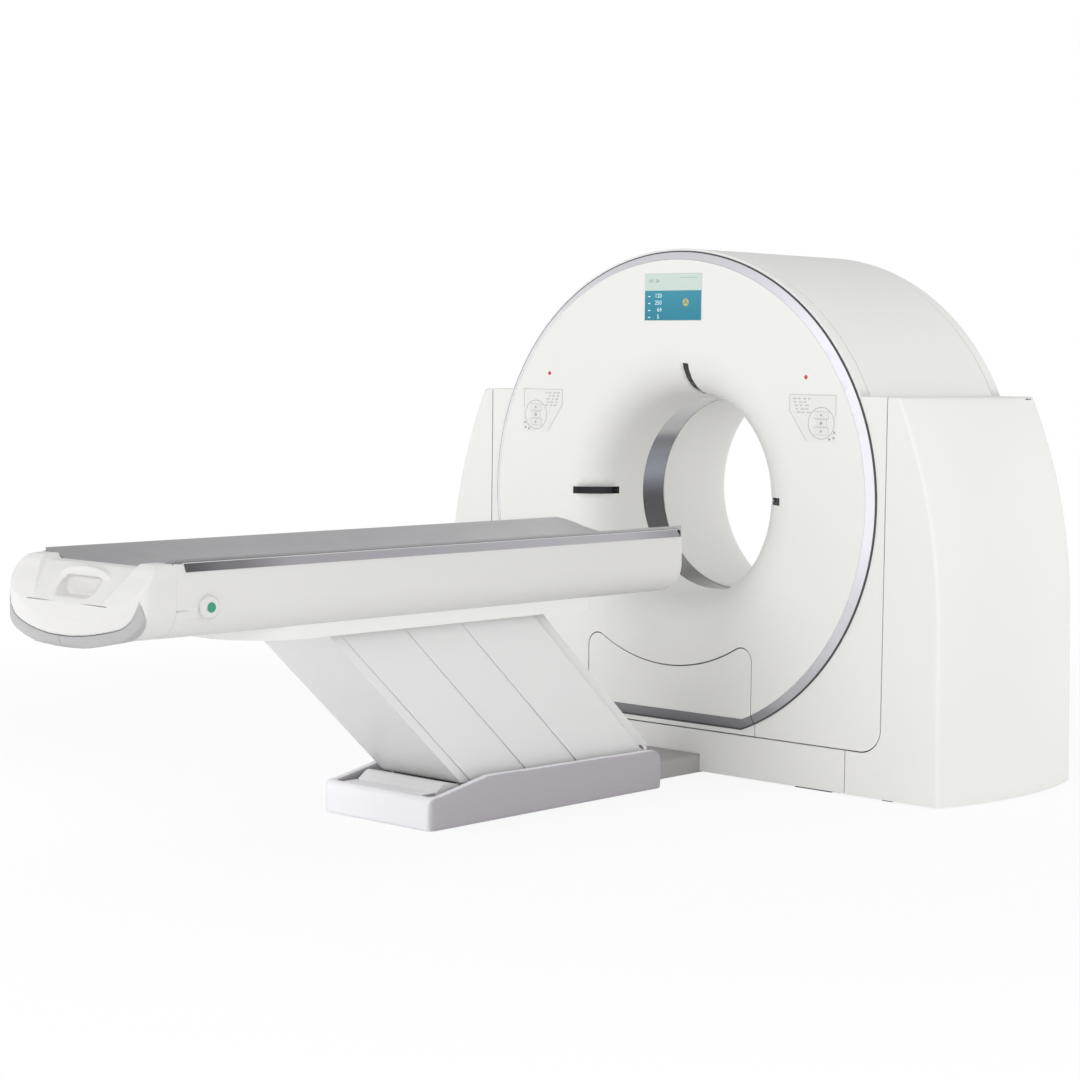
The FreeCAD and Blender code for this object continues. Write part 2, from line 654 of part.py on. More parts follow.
def brush_block():
    """Brush holder on the bearing plate; its brushes run on the slip ring."""
    block = box(-45, 45, STATOR_Y + STATOR_T, SLIP_Y + SLIP_W + 6, ISO_Z - 560, ISO_Z - SLIP_R + 12)
    bearing = rod_y(BEARING_OUTER_R + 2, STATOR_Y, BEARING_Y + BEARING_W + 1)
    return cut(block, rod_y(SLIP_R + BELT_GAP, STATOR_Y, REAR_Y), bearing)


def xray_tube():
    """Tube housing with the beam port under it."""
    z = ISO_Z + TUBE_AT
    can = rod_y(TUBE_R, -120, ROTOR_PLATE_Y, 0, z)
    port = box(-70, 70, -60, 60, z - TUBE_R - 18, z)
    flange = box(-120, 120, ROTOR_PLATE_Y - 12, ROTOR_PLATE_Y, z - 100, z + 100)
    return fuse(can, port, flange)


def collimator():
    top = ISO_Z + TUBE_AT - TUBE_R - 18
    box_part = slab_y([xz(-75, top), xz(75, top), xz(130, top - 75), xz(-130, top - 75)], -70, ROTOR_PLATE_Y)
    return box_part.cut(box(-60, 60, -20, 20, top - 80, top + 1))


def fan_sector(r0, r1, half_deg, y0, y1):
    """A ring sector centred on the focus of the tube, below the bore."""
    focus = ISO_Z + TUBE_AT
    a = math.radians(half_deg)

    def at(r, t):
        return xz(r * math.sin(t), focus - r * math.cos(t))

    return slab_y([at(r0, -a), (at(r0, 0), at(r0, a)), at(r1, a), (at(r1, 0), at(r1, -a))], y0, y1)


def detector_array():
    crescent = fan_sector(DETECTOR_R, DETECTOR_R + DETECTOR_T, DETECTOR_HALF_DEG, -60, ROTOR_PLATE_Y)
    fins = [fan_sector(DETECTOR_R + DETECTOR_T - 22, DETECTOR_R + DETECTOR_T + 1, 1.0, -61, 60)
            .rotate(V(0, 0, ISO_Z + TUBE_AT), AXIS_Y, a) for a in range(-20, 21, 8)]
    return cut(crescent, *fins)


def generator():
    case = box(455, 665, -110, ROTOR_PLATE_Y, ISO_Z - 150, ISO_Z + 170)
    lid = box(475, 645, -118, -110, ISO_Z - 130, ISO_Z + 150)
    return fuse(case, lid)


def heat_exchanger():
    case = box(-665, -455, -90, ROTOR_PLATE_Y, ISO_Z - 150, ISO_Z + 170)
    slots = [box(-645, -475, -91, -60, ISO_Z - 130 + 46 * k, ISO_Z - 130 + 46 * k + 24) for k in range(6)]
    return cut(case, *slots)


def counterweights():
    """Steel blocks that balance the rotor, each side of the detector."""
    block = turned([(620, 30), (740, 30), (740, ROTOR_PLATE_Y), (620, ROTOR_PLATE_Y)])
    keep = box(300, 760, 0, 200, ISO_Z - 640, ISO_Z - 430)
    return both_sides(block.common(keep))


def belt_outline(grow):
    """Outline of an open belt round the rotor rim and the motor pulley, as arcs and tangent lines."""
    r1 = ROTOR_R + grow
    r2 = PULLEY_R + grow
    dx = PULLEY_X
    dz = PULLEY_Z - ISO_Z
    dist = math.hypot(dx, dz)
    along = math.atan2(dz, dx)
    lean = math.acos((r1 - r2) / dist)

    def on(cx, cz, r, a):
        return xz(cx + r * math.cos(a), cz + r * math.sin(a))

    up, down = along + lean, along - lean
    return [
        on(0, ISO_Z, r1, up),
        (on(0, ISO_Z, r1, along + math.pi), on(0, ISO_Z, r1, down)),
        on(PULLEY_X, PULLEY_Z, r2, down),
        (on(PULLEY_X, PULLEY_Z, r2, along), on(PULLEY_X, PULLEY_Z, r2, up)),
    ]


BELT_Y = 93.5


def drive_belt():
    outer = slab_y(belt_outline(BELT_GAP + BELT_T), BELT_Y, BELT_Y + BELT_W)
    return outer.cut(slab_y(belt_outline(BELT_GAP), BELT_Y - 1, BELT_Y + BELT_W + 1))


MOTOR_R = 75.0
MOTOR_SHAFT_R = 14.0


def motor_pulley():
    """Pulley on its shaft."""
    wheel = rod_y(PULLEY_R, BELT_Y - 4, BELT_Y + BELT_W + 4, PULLEY_X, PULLEY_Z)
    shaft = rod_y(MOTOR_SHAFT_R, BELT_Y + BELT_W + 4, STATOR_Y + STATOR_T + 50, PULLEY_X, PULLEY_Z)
    return fuse(wheel, shaft)


def drive_motor():
    face = STATOR_Y + STATOR_T
    can = rod_y(MOTOR_R, face, face + 220, PULLEY_X, PULLEY_Z)
    box_part = box(PULLEY_X - 45, PULLEY_X + 45, face + 60, face + 170, PULLEY_Z, PULLEY_Z + MOTOR_R + 30)
    bore = rod_y(MOTOR_SHAFT_R + RUNNING_FIT, face - 1, face + 60, PULLEY_X, PULLEY_Z)
    return fuse(can, box_part).cut(bore)


def tower_electronics():
    """Power distribution cabinet in one tower and the control cabinet in the other."""
    cabinet = box(860, 1025, -130, 230, 16, 900)
    vents = [box(1015, 1030, -100, 200, 200 + 90 * k, 230 + 90 * k) for k in range(4)]
    return both_sides(cut(cabinet, *vents))


def cable_duct():
    """Floor duct with the cables from the table's base to the gantry."""
    outer = box(-DUCT_HALF, DUCT_HALF, BASE_REAR_Y, FRONT_Y + FRAME_DEPTH, 0, DUCT_H)
    long_edges = [e for e in outer.Edges if e.BoundBox.YLength > 100 and e.BoundBox.ZMin > 1]
    outer = outer.makeFillet(14.0, long_edges)
    inner = box(-DUCT_HALF + 5, DUCT_HALF - 5, BASE_REAR_Y - 1, FRONT_Y + FRAME_DEPTH + 1, -1, DUCT_H - 5)
    return outer.cut(inner)


# ---- table base and lift ----
def base_tray():
    """Grey skirt round the foot of the lift: low front, sides that rise behind it, rounded rear end."""
    ramp = BASE_FRONT_Y + 60
    side = [
        yz(BASE_FRONT_Y, 0), yz(BASE_FRONT_Y, BASE_FRONT_H - 24),
        (yz(BASE_FRONT_Y + 6, BASE_FRONT_H - 8), yz(BASE_FRONT_Y + 24, BASE_FRONT_H)),
        yz(ramp, BASE_FRONT_H + 4), yz(ramp + 200, BASE_SIDE_H), yz(BASE_REAR_Y - 65, BASE_REAR_H),
        (yz(BASE_REAR_Y - 19, BASE_REAR_H - 19), yz(BASE_REAR_Y, BASE_REAR_H - 65)), yz(BASE_REAR_Y, 0),
    ]
    block = slab_x(side, -BASE_HALF, BASE_HALF)
    plan = box(-BASE_HALF, BASE_HALF, BASE_FRONT_Y, BASE_REAR_Y, -1, BASE_SIDE_H + 20)
    plan = plan.makeFillet(30.0, [e for e in plan.Edges if e.BoundBox.ZLength > 50])
    block = block.common(plan)
    pocket = box(-BASE_HALF + BASE_RIM, BASE_HALF - BASE_RIM, BASE_FRONT_Y + BASE_RIM, BASE_REAR_Y - BASE_RIM,
                 -1, BASE_SIDE_H + 1)
    return block.cut(pocket)


HUNG_COVERS = (0, 2, 4)       # lift covers with pivots of their own; the others sit on the arms' lower shafts


def upper_cover_pins():
    """Pins on the fairing's walls that hold the upper ends of the front and the middle lift cover."""
    return [rod_x(COVER_PIN_R, COVER_LEVELS[k] - COVER_T, FAIRING_HALF - FAIRING_T,
                  COVER_PIVOTS_Y[k] - LINK_BACK, UPPER_PIVOT_Z) for k in HUNG_COVERS[:2]]


def rear_cover_hanger():
    """Bracket and pin for the upper end of the rear lift cover, which lies inside all the other planks."""
    y = COVER_PIVOTS_Y[-1] - LINK_BACK
    z = UPPER_PIVOT_Z
    inner = SIDE_PLATE_X
    outer = SIDE_PLATE_X + SIDE_PLATE_T
    plate = slab_x([yz(y - 58, RAIL_Z), yz(y - 8, RAIL_Z), yz(y + 8, z + 6), yz(y - 8, z - 6)], inner, outer)
    eye = rod_x(COVER_NOSE_R, inner, outer, y, z)
    return fuse(plate, eye, rod_x(COVER_PIN_R, outer, COVER_LEVELS[-1], y, z))


def table_base():
    """Steel base: floor plate, two side plates with the bores of all lower pivots, and the actuator's bracket."""
    inner = BASE_HALF - BASE_RIM
    front = BASE_FRONT_Y + BASE_RIM
    rear = BASE_REAR_Y - BASE_RIM
    first = COVER_PIVOTS_Y[0]
    last = COVER_PIVOTS_Y[-1]
    reach = SIDE_PLATE_X + SIDE_PLATE_T
    top = PIVOT_Z + 20
    low_top = PIVOT_Z + 8
    floor = box(-inner, inner, front, rear, 0, 12)
    nose = COVER_NOSE_R
    plate = slab_x([yz(first + 6, 0), yz(rear, 0), yz(rear, PIVOT_Z - 3.5), yz(last - 8.1, PIVOT_Z - 5.9),
                    yz(last, low_top), yz(REAR_ARM_Y + 40, low_top), yz(REAR_ARM_Y + 28, top), yz(first + 10, top),
                    yz(first, PIVOT_Z + nose), yz(first, PIVOT_Z - nose), yz(first + 6, PIVOT_Z - nose)],
                   SIDE_PLATE_X, reach)
    side = fuse(plate, rod_x(nose, SIDE_PLATE_X, reach, first, PIVOT_Z), rod_x(nose, SIDE_PLATE_X, reach, last, PIVOT_Z))
    side = side.cut(box(0, reach + 1, last - nose, last + nose + 1, low_top, top))
    for y in (FRONT_ARM_Y, REAR_ARM_Y):
        side = side.cut(rod_x(SHAFT_R + RUNNING_FIT, 0, reach + 1, y, PIVOT_Z))
    for k in HUNG_COVERS:
        side = side.cut(rod_x(COVER_PIN_R + RUNNING_FIT, 0, reach + 1, COVER_PIVOTS_Y[k], PIVOT_Z))
    deck_z = BASE_FRONT_H - 22
    deck_half = COVER_LEVELS[0] - COVER_STEP
    deck = box(-deck_half, deck_half, front, first - 35, deck_z, deck_z + 6)
    post = box(-120, 120, front + 20, front + 26, 12, deck_z)
    lug = box(36, 44, ACTUATOR_Y - 25, ACTUATOR_Y + 25, 12, ACTUATOR_Z + 22)
    pin = rod_x(ACTUATOR_PIN_R, -36, 36, ACTUATOR_Y, ACTUATOR_Z)
    return fuse(floor, side, mirror(side), deck, post, lug, mirror(lug), pin)


def upper_shafts():
    """Cross shafts that the upper ends of the arms turn on."""
    return [rod_x(SHAFT_R, -SIDE_PLATE_X, SIDE_PLATE_X, y - LINK_BACK, UPPER_PIVOT_Z)
            for y in (FRONT_ARM_Y, REAR_ARM_Y)]


def link_bar(x0, x1, y, half_depth, extra=0.0):
    """A straight bar with round ends from a lower pivot to its upper pivot."""
    bar = box(x0, x1, 0, LINK, -half_depth, half_depth)
    ends = [rod_x(half_depth + extra, x0, x1, 0, 0), rod_x(half_depth + extra, x0, x1, LINK, 0)]
    bar = fuse(bar, *ends)
    bar.rotate(V(0, 0, 0), V(1, 0, 0), 180 - LIFT_ANGLE)
    bar.translate(V(0, y, PIVOT_Z))
    return bar


ACTUATOR_Y = -740.0
ACTUATOR_Z = 70.0
ACTUATOR_PIN_R = 9.0
LUG_R = 110.0                # actuator lug: distance from the arms' lower pivot
LUG_BACK_DEG = 60.0          # and its angle behind the arm
LUG_SLACK = 3.0              # open pivot at the rod's eye
ROD_R = 14.0


def lug_point():
    a = math.radians(180 - LIFT_ANGLE - LUG_BACK_DEG)
    return FRONT_ARM_Y + LUG_R * math.cos(a), PIVOT_Z + LUG_R * math.sin(a)


def arms(y, beam_at, upper_fit, shaft_half, with_lug):
    """A pair of arms welded to their lower shaft; the front pair also carries the actuator's lug."""
    half = ARM_DEPTH / 2
    right = link_bar(ARM_X, ARM_X + ARM_T, y, half)
    beam = box(-ARM_X, ARM_X, beam_at - 22, beam_at + 22, -16, 16)
    beam.rotate(V(0, 0, 0), V(1, 0, 0), 180 - LIFT_ANGLE)
    beam.translate(V(0, y, PIVOT_Z))
    pieces = [mirror(right), beam, rod_x(SHAFT_R, -shaft_half, shaft_half, y, PIVOT_Z)]
    if with_lug:
        ly, lz = lug_point()
        for x in (-24, 16):
            pieces.append(slab_x([yz(y - 24, PIVOT_Z - 22), yz(y + 24, PIVOT_Z - 22), yz(ly + 16, lz + 16),
                                  yz(ly - 16, lz + 16)], x, x + 8))
        pieces.append(rod_x(ACTUATOR_PIN_R, -20, 20, ly, lz))
    pair = fuse(right, *pieces)
    reach = ARM_X + ARM_T + 1
    return pair.cut(rod_x(SHAFT_R + upper_fit, -reach, reach, y - LINK_BACK, UPPER_PIVOT_Z))


def actuator():
    """Electric screw actuator: the housing with its motor, and the rod that it draws in to lift the table."""
    ly, lz = lug_point()
    length = math.hypot(ly - ACTUATOR_Y, lz - ACTUATOR_Z)
    slope = math.degrees(math.atan2(lz - ACTUATOR_Z, ly - ACTUATOR_Y))
    body_end = length * 0.62
    tube = Part.makeCylinder(22, body_end - 22, V(0, 22, 0), AXIS_Y)
    motor = box(28, 75, 66, 190, -22, 22)
    gear = fuse(box(-28, 28, -20, 66, -22, 22), box(28, 75, 32, 66, -22, 22))
    body = fuse(tube, motor, gear)
    bore = Part.makeCylinder(ROD_R + RUNNING_FIT, body_end, V(0, 90, 0), AXIS_Y)
    body = cut(body, bore, rod_x(ACTUATOR_PIN_R + RUNNING_FIT, -40, 40, 0, 0))
    rod = Part.makeCylinder(ROD_R, length - 110, V(0, 100, 0), AXIS_Y)
    eye = box(-13, 13, length - 22, length + 22, -22, 22)
    rod = fuse(rod, eye).cut(rod_x(ACTUATOR_PIN_R + LUG_SLACK, -20, 20, length, 0))
    for part in (body, rod):
        part.rotate(V(0, 0, 0), V(1, 0, 0), slope)
        part.translate(V(0, ACTUATOR_Y, ACTUATOR_Z))
    return body, rod


SLAT_LOW_Z = 114.0
SLAT_TOP_Z = 680.0


def sloped_plate(y0, y1, low, top, x0, x1):
    """A plank between two lines parallel to the links, cut level at both ends; y0 and y1 are at pivot height."""
    cot = 1 / math.tan(math.radians(LIFT_ANGLE))

    def at(y, z):
        return yz(y - (z - PIVOT_Z) * cot, z)

    return slab_x([at(y0, low), at(y1, low), at(y1, top), at(y0, top)], x0, x1)


def shaft_notch(x0, x1):
    """Room in the rear cover's planks for the shaft of the rear arms while the table is low."""
    pivot = COVER_PIVOTS_Y[-1]
    reach = pivot - REAR_ARM_Y
    room = SHAFT_R + 2.5

    def at(r, degrees):
        a = math.radians(degrees)
        return yz(pivot + r * math.cos(a), PIVOT_Z + r * math.sin(a))

    start = 180 - LIFT_RANGE
    path = slab_x([at(reach - room - 1, start), at(reach - room - 1, start + 15), at(reach - room - 1, 180),
                   at(reach + room + 2, 180), at(reach + room + 2, start + 15), at(reach + room, start)], x0, x1)
    end = at(reach, start)
    return fuse(path, rod_x(room, x0, x1, end.y, end.z))


def lift_cover(k):
    """Side planks of the lift, a pair per pivot; the first and last pairs are joined by a front or rear face."""
    y0, y1 = COVER_SPANS[k]
    level = COVER_LEVELS[k]
    inner = level - COVER_T
    low = (PIVOT_Z - 10, SLAT_LOW_Z, SLAT_LOW_Z, SLAT_LOW_Z, BASE_REAR_H + 8)[k]
    top = (UPPER_PIVOT_Z + 10, SLAT_TOP_Z, SLAT_TOP_Z, SLAT_TOP_Z, UPPER_PIVOT_Z + 10)[k]
    side = sloped_plate(y0, y1, low, top, inner, level)
    if k not in HUNG_COVERS:
        return both_sides(side)
    pivot = COVER_PIVOTS_Y[k]
    if k == 4:
        ear = rod_x(COVER_NOSE_R - 1, inner, level, pivot, PIVOT_Z)
        side = fuse(side.cut(shaft_notch(inner - 1, level + 1)), ear,
                    sloped_plate(pivot - 8, pivot + 8, PIVOT_Z, low + 20, inner, level))
    side = side.cut(rod_x(COVER_PIN_R + OPEN_FIT, inner - 1, level + 1, pivot - LINK_BACK, UPPER_PIVOT_Z))
    if k == 2:
        return fuse(side, mirror(side), rod_x(COVER_PIN_R, -inner, inner, pivot, PIVOT_Z))
    side = fuse(side, rod_x(COVER_PIN_R, SIDE_PLATE_X, inner, pivot, PIVOT_Z))
    wide = COVER_T / math.sin(math.radians(LIFT_ANGLE))
    a, b = (y0, y0 + wide) if k == 0 else (y1 - wide, y1)
    face = sloped_plate(a, b, low, top if k == 0 else UPPER_PIVOT_Z - 10, -level, level)
    return fuse(side, mirror(side), face)


# ---- table top ----
def rounded_bottom(half, low, r):
    """Bottom of a section with round lower corners: points from the left side to the right side."""
    d = r * (1 - math.sqrt(0.5))
    return [xz(-half, low + r), (xz(-half + d, low + d), xz(-half + r, low)), xz(half - r, low),
            (xz(half - d, low + d), xz(half, low + r))]


def body_section(inset=0.0):
    """Section of the table body: flat bottom, large round lower corners, sides that lean in at the top."""
    b = BODY_HALF - inset
    points = rounded_bottom(b, BODY_BOTTOM_Z + inset, BODY_CORNER_R - inset)
    return points + [xz(b, 835), xz(b - 3, 858), xz(b - 12, BODY_TOP_Z), xz(-b + 12, BODY_TOP_Z), xz(-b + 3, 858),
                     xz(-b, 835)]


def body_block():
    block = slab_y(body_section(), BODY_FOOT_Y, BODY_HEAD_Y)
    end = [e for e in block.Edges if abs(e.BoundBox.YMin - BODY_HEAD_Y) < 0.01 and e.BoundBox.ZMin < BODY_TOP_Z - 5]
    return block.makeChamfer(BODY_BEVEL, end)


def body_shell():
    """White shell of the table top: open above, closed at the gantry end, cut away over the lift."""
    inner = slab_y(body_section(BODY_T), BODY_FOOT_Y - 1, BODY_HEAD_Y - BODY_BEVEL)
    top = box(-BODY_HALF, BODY_HALF, BODY_FOOT_Y - 1, BODY_HEAD_Y + 1, BODY_TOP_Z - 1, BODY_TOP_Z + 5)
    open_top = box(-BODY_HALF + 18, BODY_HALF - 18, BODY_FOOT_Y - 1, BODY_HEAD_Y - BODY_BEVEL, 850, BODY_TOP_Z + 5)
    lift_hole = box(-FAIRING_HALF + 12, FAIRING_HALF - 12, FAIRING_FRONT_Y + 40, LIFT_HOLE_REAR_Y, 660, 720)
    passage = box(-CRADLE_HALF - 1, CRADLE_HALF + 1, BODY_HEAD_Y - 60, BODY_HEAD_Y + 1, CRADLE_BOTTOM_Z - 14, 900)
    boss, well = button_boss()
    return cut(fuse(cut(body_block(), inner, top, open_top, lift_hole, passage), boss), well, side_trims())


LIFT_HOLE_REAR_Y = -985.0     # the opening in the table body's bottom ends behind the last lift cover


def side_trims():
    """Grey trim strip along the upper edge of each side, let into the table body."""
    b = BODY_HALF
    strip = slab_y([xz(b - 3.2, 858.5), xz(b - 0.2, 859.5), xz(b - 8.6, 882), xz(b - 11.6, 881)],
                   CRADLE_FOOT_Y + 30, BODY_HEAD_Y - 30)
    return both_sides(strip)


def fairing_plan(inset):
    """Seen from above: a round nose, straight sides and an open rear end."""
    half = FAIRING_HALF - inset
    nose = FAIRING_NOSE - inset
    front = FAIRING_FRONT_Y
    rear = FAIRING_REAR_Y + (1 if inset else 0)
    a = math.radians(45)
    mid_x, mid_y = half * math.sin(a), front - nose * math.cos(a)
    return [V(-half, front, 0), V(-half, rear, 0), V(half, rear, 0),
            V(half, front, 0), (V(mid_x, mid_y, 0), V(0, front - nose, 0)), (V(-mid_x, mid_y, 0), V(-half, front, 0))]


def fairing():
    """Skirt under the table body that hides the upper ends of the lift, with its pivot pins."""
    outer = slab_z(fairing_plan(0.0), FAIRING_Z, FAIRING_Z + 110)
    inner = slab_z(fairing_plan(FAIRING_T), FAIRING_Z - 1, FAIRING_Z + 111)
    skirt = outer.cut(inner).cut(body_block())
    pins = upper_cover_pins()
    return fuse(skirt, *pins, *[mirror(p) for p in pins])


def upper_frame():
    """Steel frame inside the table body: two rails, cross members, brackets for the upper shafts, and the deck."""
    y0, y1 = BODY_FOOT_Y + 40, BODY_HEAD_Y - 40
    rail = box(SIDE_PLATE_X - 20, SIDE_PLATE_X + SIDE_PLATE_T, y0, y1, RAIL_Z, RAIL_Z + 50)
    brackets = [rear_cover_hanger()]
    for y in (FRONT_ARM_Y - LINK_BACK, REAR_ARM_Y - LINK_BACK):
        brackets.append(slab_x([yz(y - 60, RAIL_Z), yz(y - 26, UPPER_PIVOT_Z - 20), yz(y + 26, UPPER_PIVOT_Z - 20),
                                yz(y + 60, RAIL_Z)], SIDE_PLATE_X, SIDE_PLATE_X + SIDE_PLATE_T))
    half = fuse(rail, *brackets)
    cross = [box(-SIDE_PLATE_X + 20, SIDE_PLATE_X - 20, y, y + 60, RAIL_Z + 6, RAIL_Z + 46)
             for y in (y0, FRONT_ARM_Y - LINK_BACK - 200, REAR_ARM_Y - LINK_BACK - 200, y1 - 60)]
    risers = [box(-SIDE_PLATE_X - 10, SIDE_PLATE_X + 10, y, y + 8, RAIL_Z + 46, DECK_Z) for y in (y0, -1800, y1 - 8)]
    half_deck = BODY_HALF - BODY_T
    deck = box(-half_deck, half_deck, y0, y1, DECK_Z, DECK_Z + DECK_T)
    rails = [box(s * RAIL_X - RAIL_W / 2, s * RAIL_X + RAIL_W / 2, y0 + 20, y1, DECK_Z + DECK_T,
                 CRADLE_BOTTOM_Z - SLIDE_GAP) for s in (-1, 1)]
    return fuse(half, mirror(half), *cross, *risers, deck, *upper_shafts()), Part.makeCompound(rails)


def cap_face(grow):
    """Outline of the foot end: round lower corners, rounded shoulders and a low arch over the handle."""
    w = CAP_HALF + grow
    top = BODY_TOP_Z - 22 + grow
    shoulder = 62.0
    d = shoulder * (1 - math.sqrt(0.5))
    return rounded_bottom(w, CAP_BOTTOM_Z - grow, CAP_CORNER_R + grow) + [
        xz(w, top - shoulder), (xz(w - d, top - d), xz(w - shoulder, top)), xz(125, top),
        (xz(0, top + 16), xz(-125, top)), xz(-w + shoulder, top), (xz(-w + d, top - d), xz(-w, top - shoulder))]


HANDLE_HALF = 76.0
HANDLE_Z = 816.0
HANDLE_H = 44.0
HANDLE_DEPTH = 42.0


def foot_cap():
    """Moulded end of the table body, with the pocket of the pull handle and a thin split line."""
    y0 = BODY_FOOT_Y - CAP_DEPTH
    cap = slab_y(cap_face(0.0), y0, BODY_FOOT_Y)
    face_edges = [e for e in cap.Edges if abs(e.BoundBox.YMin - y0) < 0.01 and abs(e.BoundBox.YMax - y0) < 0.01]
    cap = cap.makeChamfer(5.0, face_edges)
    r = HANDLE_H / 2
    reach = y0 + HANDLE_DEPTH
    cup = box(-HANDLE_HALF - 5, HANDLE_HALF + 5, y0 + 10, reach + 5, HANDLE_Z - r - 5, HANDLE_Z + r + 5)
    pocket = fuse(box(-HANDLE_HALF + r, HANDLE_HALF - r, y0 - 1, reach, HANDLE_Z - r, HANDLE_Z + r),
                  rod_y(r, y0 - 1, reach, -HANDLE_HALF + r, HANDLE_Z),
                  rod_y(r, y0 - 1, reach, HANDLE_HALF - r, HANDLE_Z))
    split = box(-190, 190, y0 - 1, y0 + 2, 761, 763)
    return cut(fuse(cap, cup), pocket, split)


def foot_bumper():
    """Soft grey bumper along the lower edge of the foot end, in two halves that meet in the middle."""
    y0 = BODY_FOOT_Y - CAP_DEPTH - 4
    band = slab_y(cap_face(BUMPER_W), y0, BODY_FOOT_Y - 0.5).cut(slab_y(cap_face(0.0), y0 - 1, BODY_FOOT_Y + 1))
    band = band.cut(box(-400, 400, y0 - 1, BODY_FOOT_Y + 1, 790, 950))
    half = band.common(box(0.8, 400, y0 - 1, BODY_FOOT_Y + 1, 600, 900))
    return both_sides(half)


def button_boss():
    """Round boss on the side of the table body, with the well that the button moves in."""
    x1 = BODY_HALF + 14
    boss = rod_x(33, BODY_HALF - 14, x1, BUTTON_Y, BUTTON_Z)
    boss = boss.makeChamfer(6.0, [e for e in boss.Edges if e.BoundBox.XMin > x1 - 0.01])
    return boss, rod_x(BUTTON_R + 0.3, BODY_HALF - 9, x1 + 1, BUTTON_Y, BUTTON_Z)


def green_button():
    return rod_x(BUTTON_R, BODY_HALF - 9 + BUTTON_TRAVEL + 0.5, BODY_HALF + 17, BUTTON_Y, BUTTON_Z)


def cradle():
    """Sliding patient cradle: a shallow trough with raised rims and guide lips under it."""
    rim = CRADLE_TOP_Z
    h = CRADLE_HALF
    section = [
        xz(-180, CRADLE_BOTTOM_Z), xz(180, CRADLE_BOTTOM_Z), xz(262, 858), xz(h, 884), xz(h, rim), xz(h - 8, rim),
        (xz(0, rim - CRADLE_DIP), xz(-h + 8, rim)), xz(-h, rim), xz(-h, 884), xz(-262, 858),
    ]
    slab = slab_y(section, CRADLE_FOOT_Y, CRADLE_HEAD_Y)
    plan = slab_z([V(-h, CRADLE_FOOT_Y, 0), V(h, CRADLE_FOOT_Y, 0), V(h, CRADLE_HEAD_Y, 0),
                   V(-h, CRADLE_HEAD_Y, 0)], CRADLE_BOTTOM_Z - 20, rim + 20)
    corners = [e for e in plan.Edges if e.BoundBox.ZLength > 50 and e.BoundBox.YMax > CRADLE_HEAD_Y - 1]
    plan = plan.makeFillet(CRADLE_CORNER_R, corners)
    slab = slab.common(plan)
    guides = []
    for s in (-1, 1):
        x = s * (RAIL_X + RAIL_W / 2 + 4)
        guides.append(box(x - 3, x + 3, CRADLE_FOOT_Y + 60, CRADLE_HEAD_Y - 120, CRADLE_BOTTOM_Z - 9,
                          CRADLE_BOTTOM_Z))
    return fuse(slab, *guides)


# ---- build ----
def main():
    tower = tower_cover()
    save("right_tower_cover", tower)
    save("left_tower_cover", mirror(tower))
    save("front_frame_cover", frame_cover())
    save("front_trim_ring", trim_ring())
    save("front_disc_cover", disc_cover())
    save("front_access_cover", access_cover())
    save("plinth_covers", plinth_covers())
    save("dome_cover", dome_cover())
    save("rear_cover", rear_cover())
    save("bore_window", bore_window())
    save("display_screen", display_screen())
    for side, name in ((-1, "left"), (1, "right")):
        save(name + "_control_panel", control_panel(side))
        for key, shape in panel_keys(side).items():
            save(name + "_" + key + "_key", shape)
    save("indicator_lamps", indicator_lamps())
    save("laser_windows", laser_windows())
    save("gantry_base_frame", base_frame())
    save("stator_frame", stator_frame())
    save("main_bearing", main_bearing())
    save("rotor_drum", rotor_drum())
    save("slip_ring", slip_ring())
    save("brush_block", brush_block())
    save("xray_tube", xray_tube())
    save("collimator", collimator())
    save("detector_array", detector_array())
    save("high_voltage_generator", generator())
    save("heat_exchanger", heat_exchanger())
    save("counterweights", counterweights())
    save("drive_belt", drive_belt())
    save("motor_pulley", motor_pulley())
    save("drive_motor", drive_motor())
    save("tower_electronics", tower_electronics())
    save("cable_duct", cable_duct())
    save("table_base_tray", base_tray())
    save("table_base_frame", table_base())
    save("front_lift_arms", arms(FRONT_ARM_Y, 400.0, RUNNING_FIT, COVER_LEVELS[1] - COVER_T, True))
    save("rear_lift_arms", arms(REAR_ARM_Y, 715.0, OPEN_FIT, COVER_LEVELS[3] - COVER_T, False))
    housing, rod = actuator()
    save("actuator_housing", housing)
    save("actuator_rod", rod)
    names = ("front_lift_cover", "lift_slats_front", "lift_slats_middle", "lift_slats_rear", "rear_lift_cover")
    for k, name in enumerate(names):
        save(name, lift_cover(k))
    frame, rails = upper_frame()
    save("upper_frame", frame)
    save("cradle_rails", rails)
    save("table_body_shell", body_shell())
    save("side_trims", side_trims())
    save("fairing", fairing())
    save("foot_end_cap", foot_cap())
    save("foot_bumper", foot_bumper())
    save("green_button", green_button())
    save("cradle", cradle())


main()
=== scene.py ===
"""CT scanner: finishes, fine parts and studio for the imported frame.

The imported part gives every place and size. Each operator below dresses one piece, or a group of like pieces;
lengths are in metres and the axes are the part's own: Z up, Y along the bore, the table on the -Y side.
"""

import json
import math

import bmesh
import bpy
from mathutils import Matrix, Vector

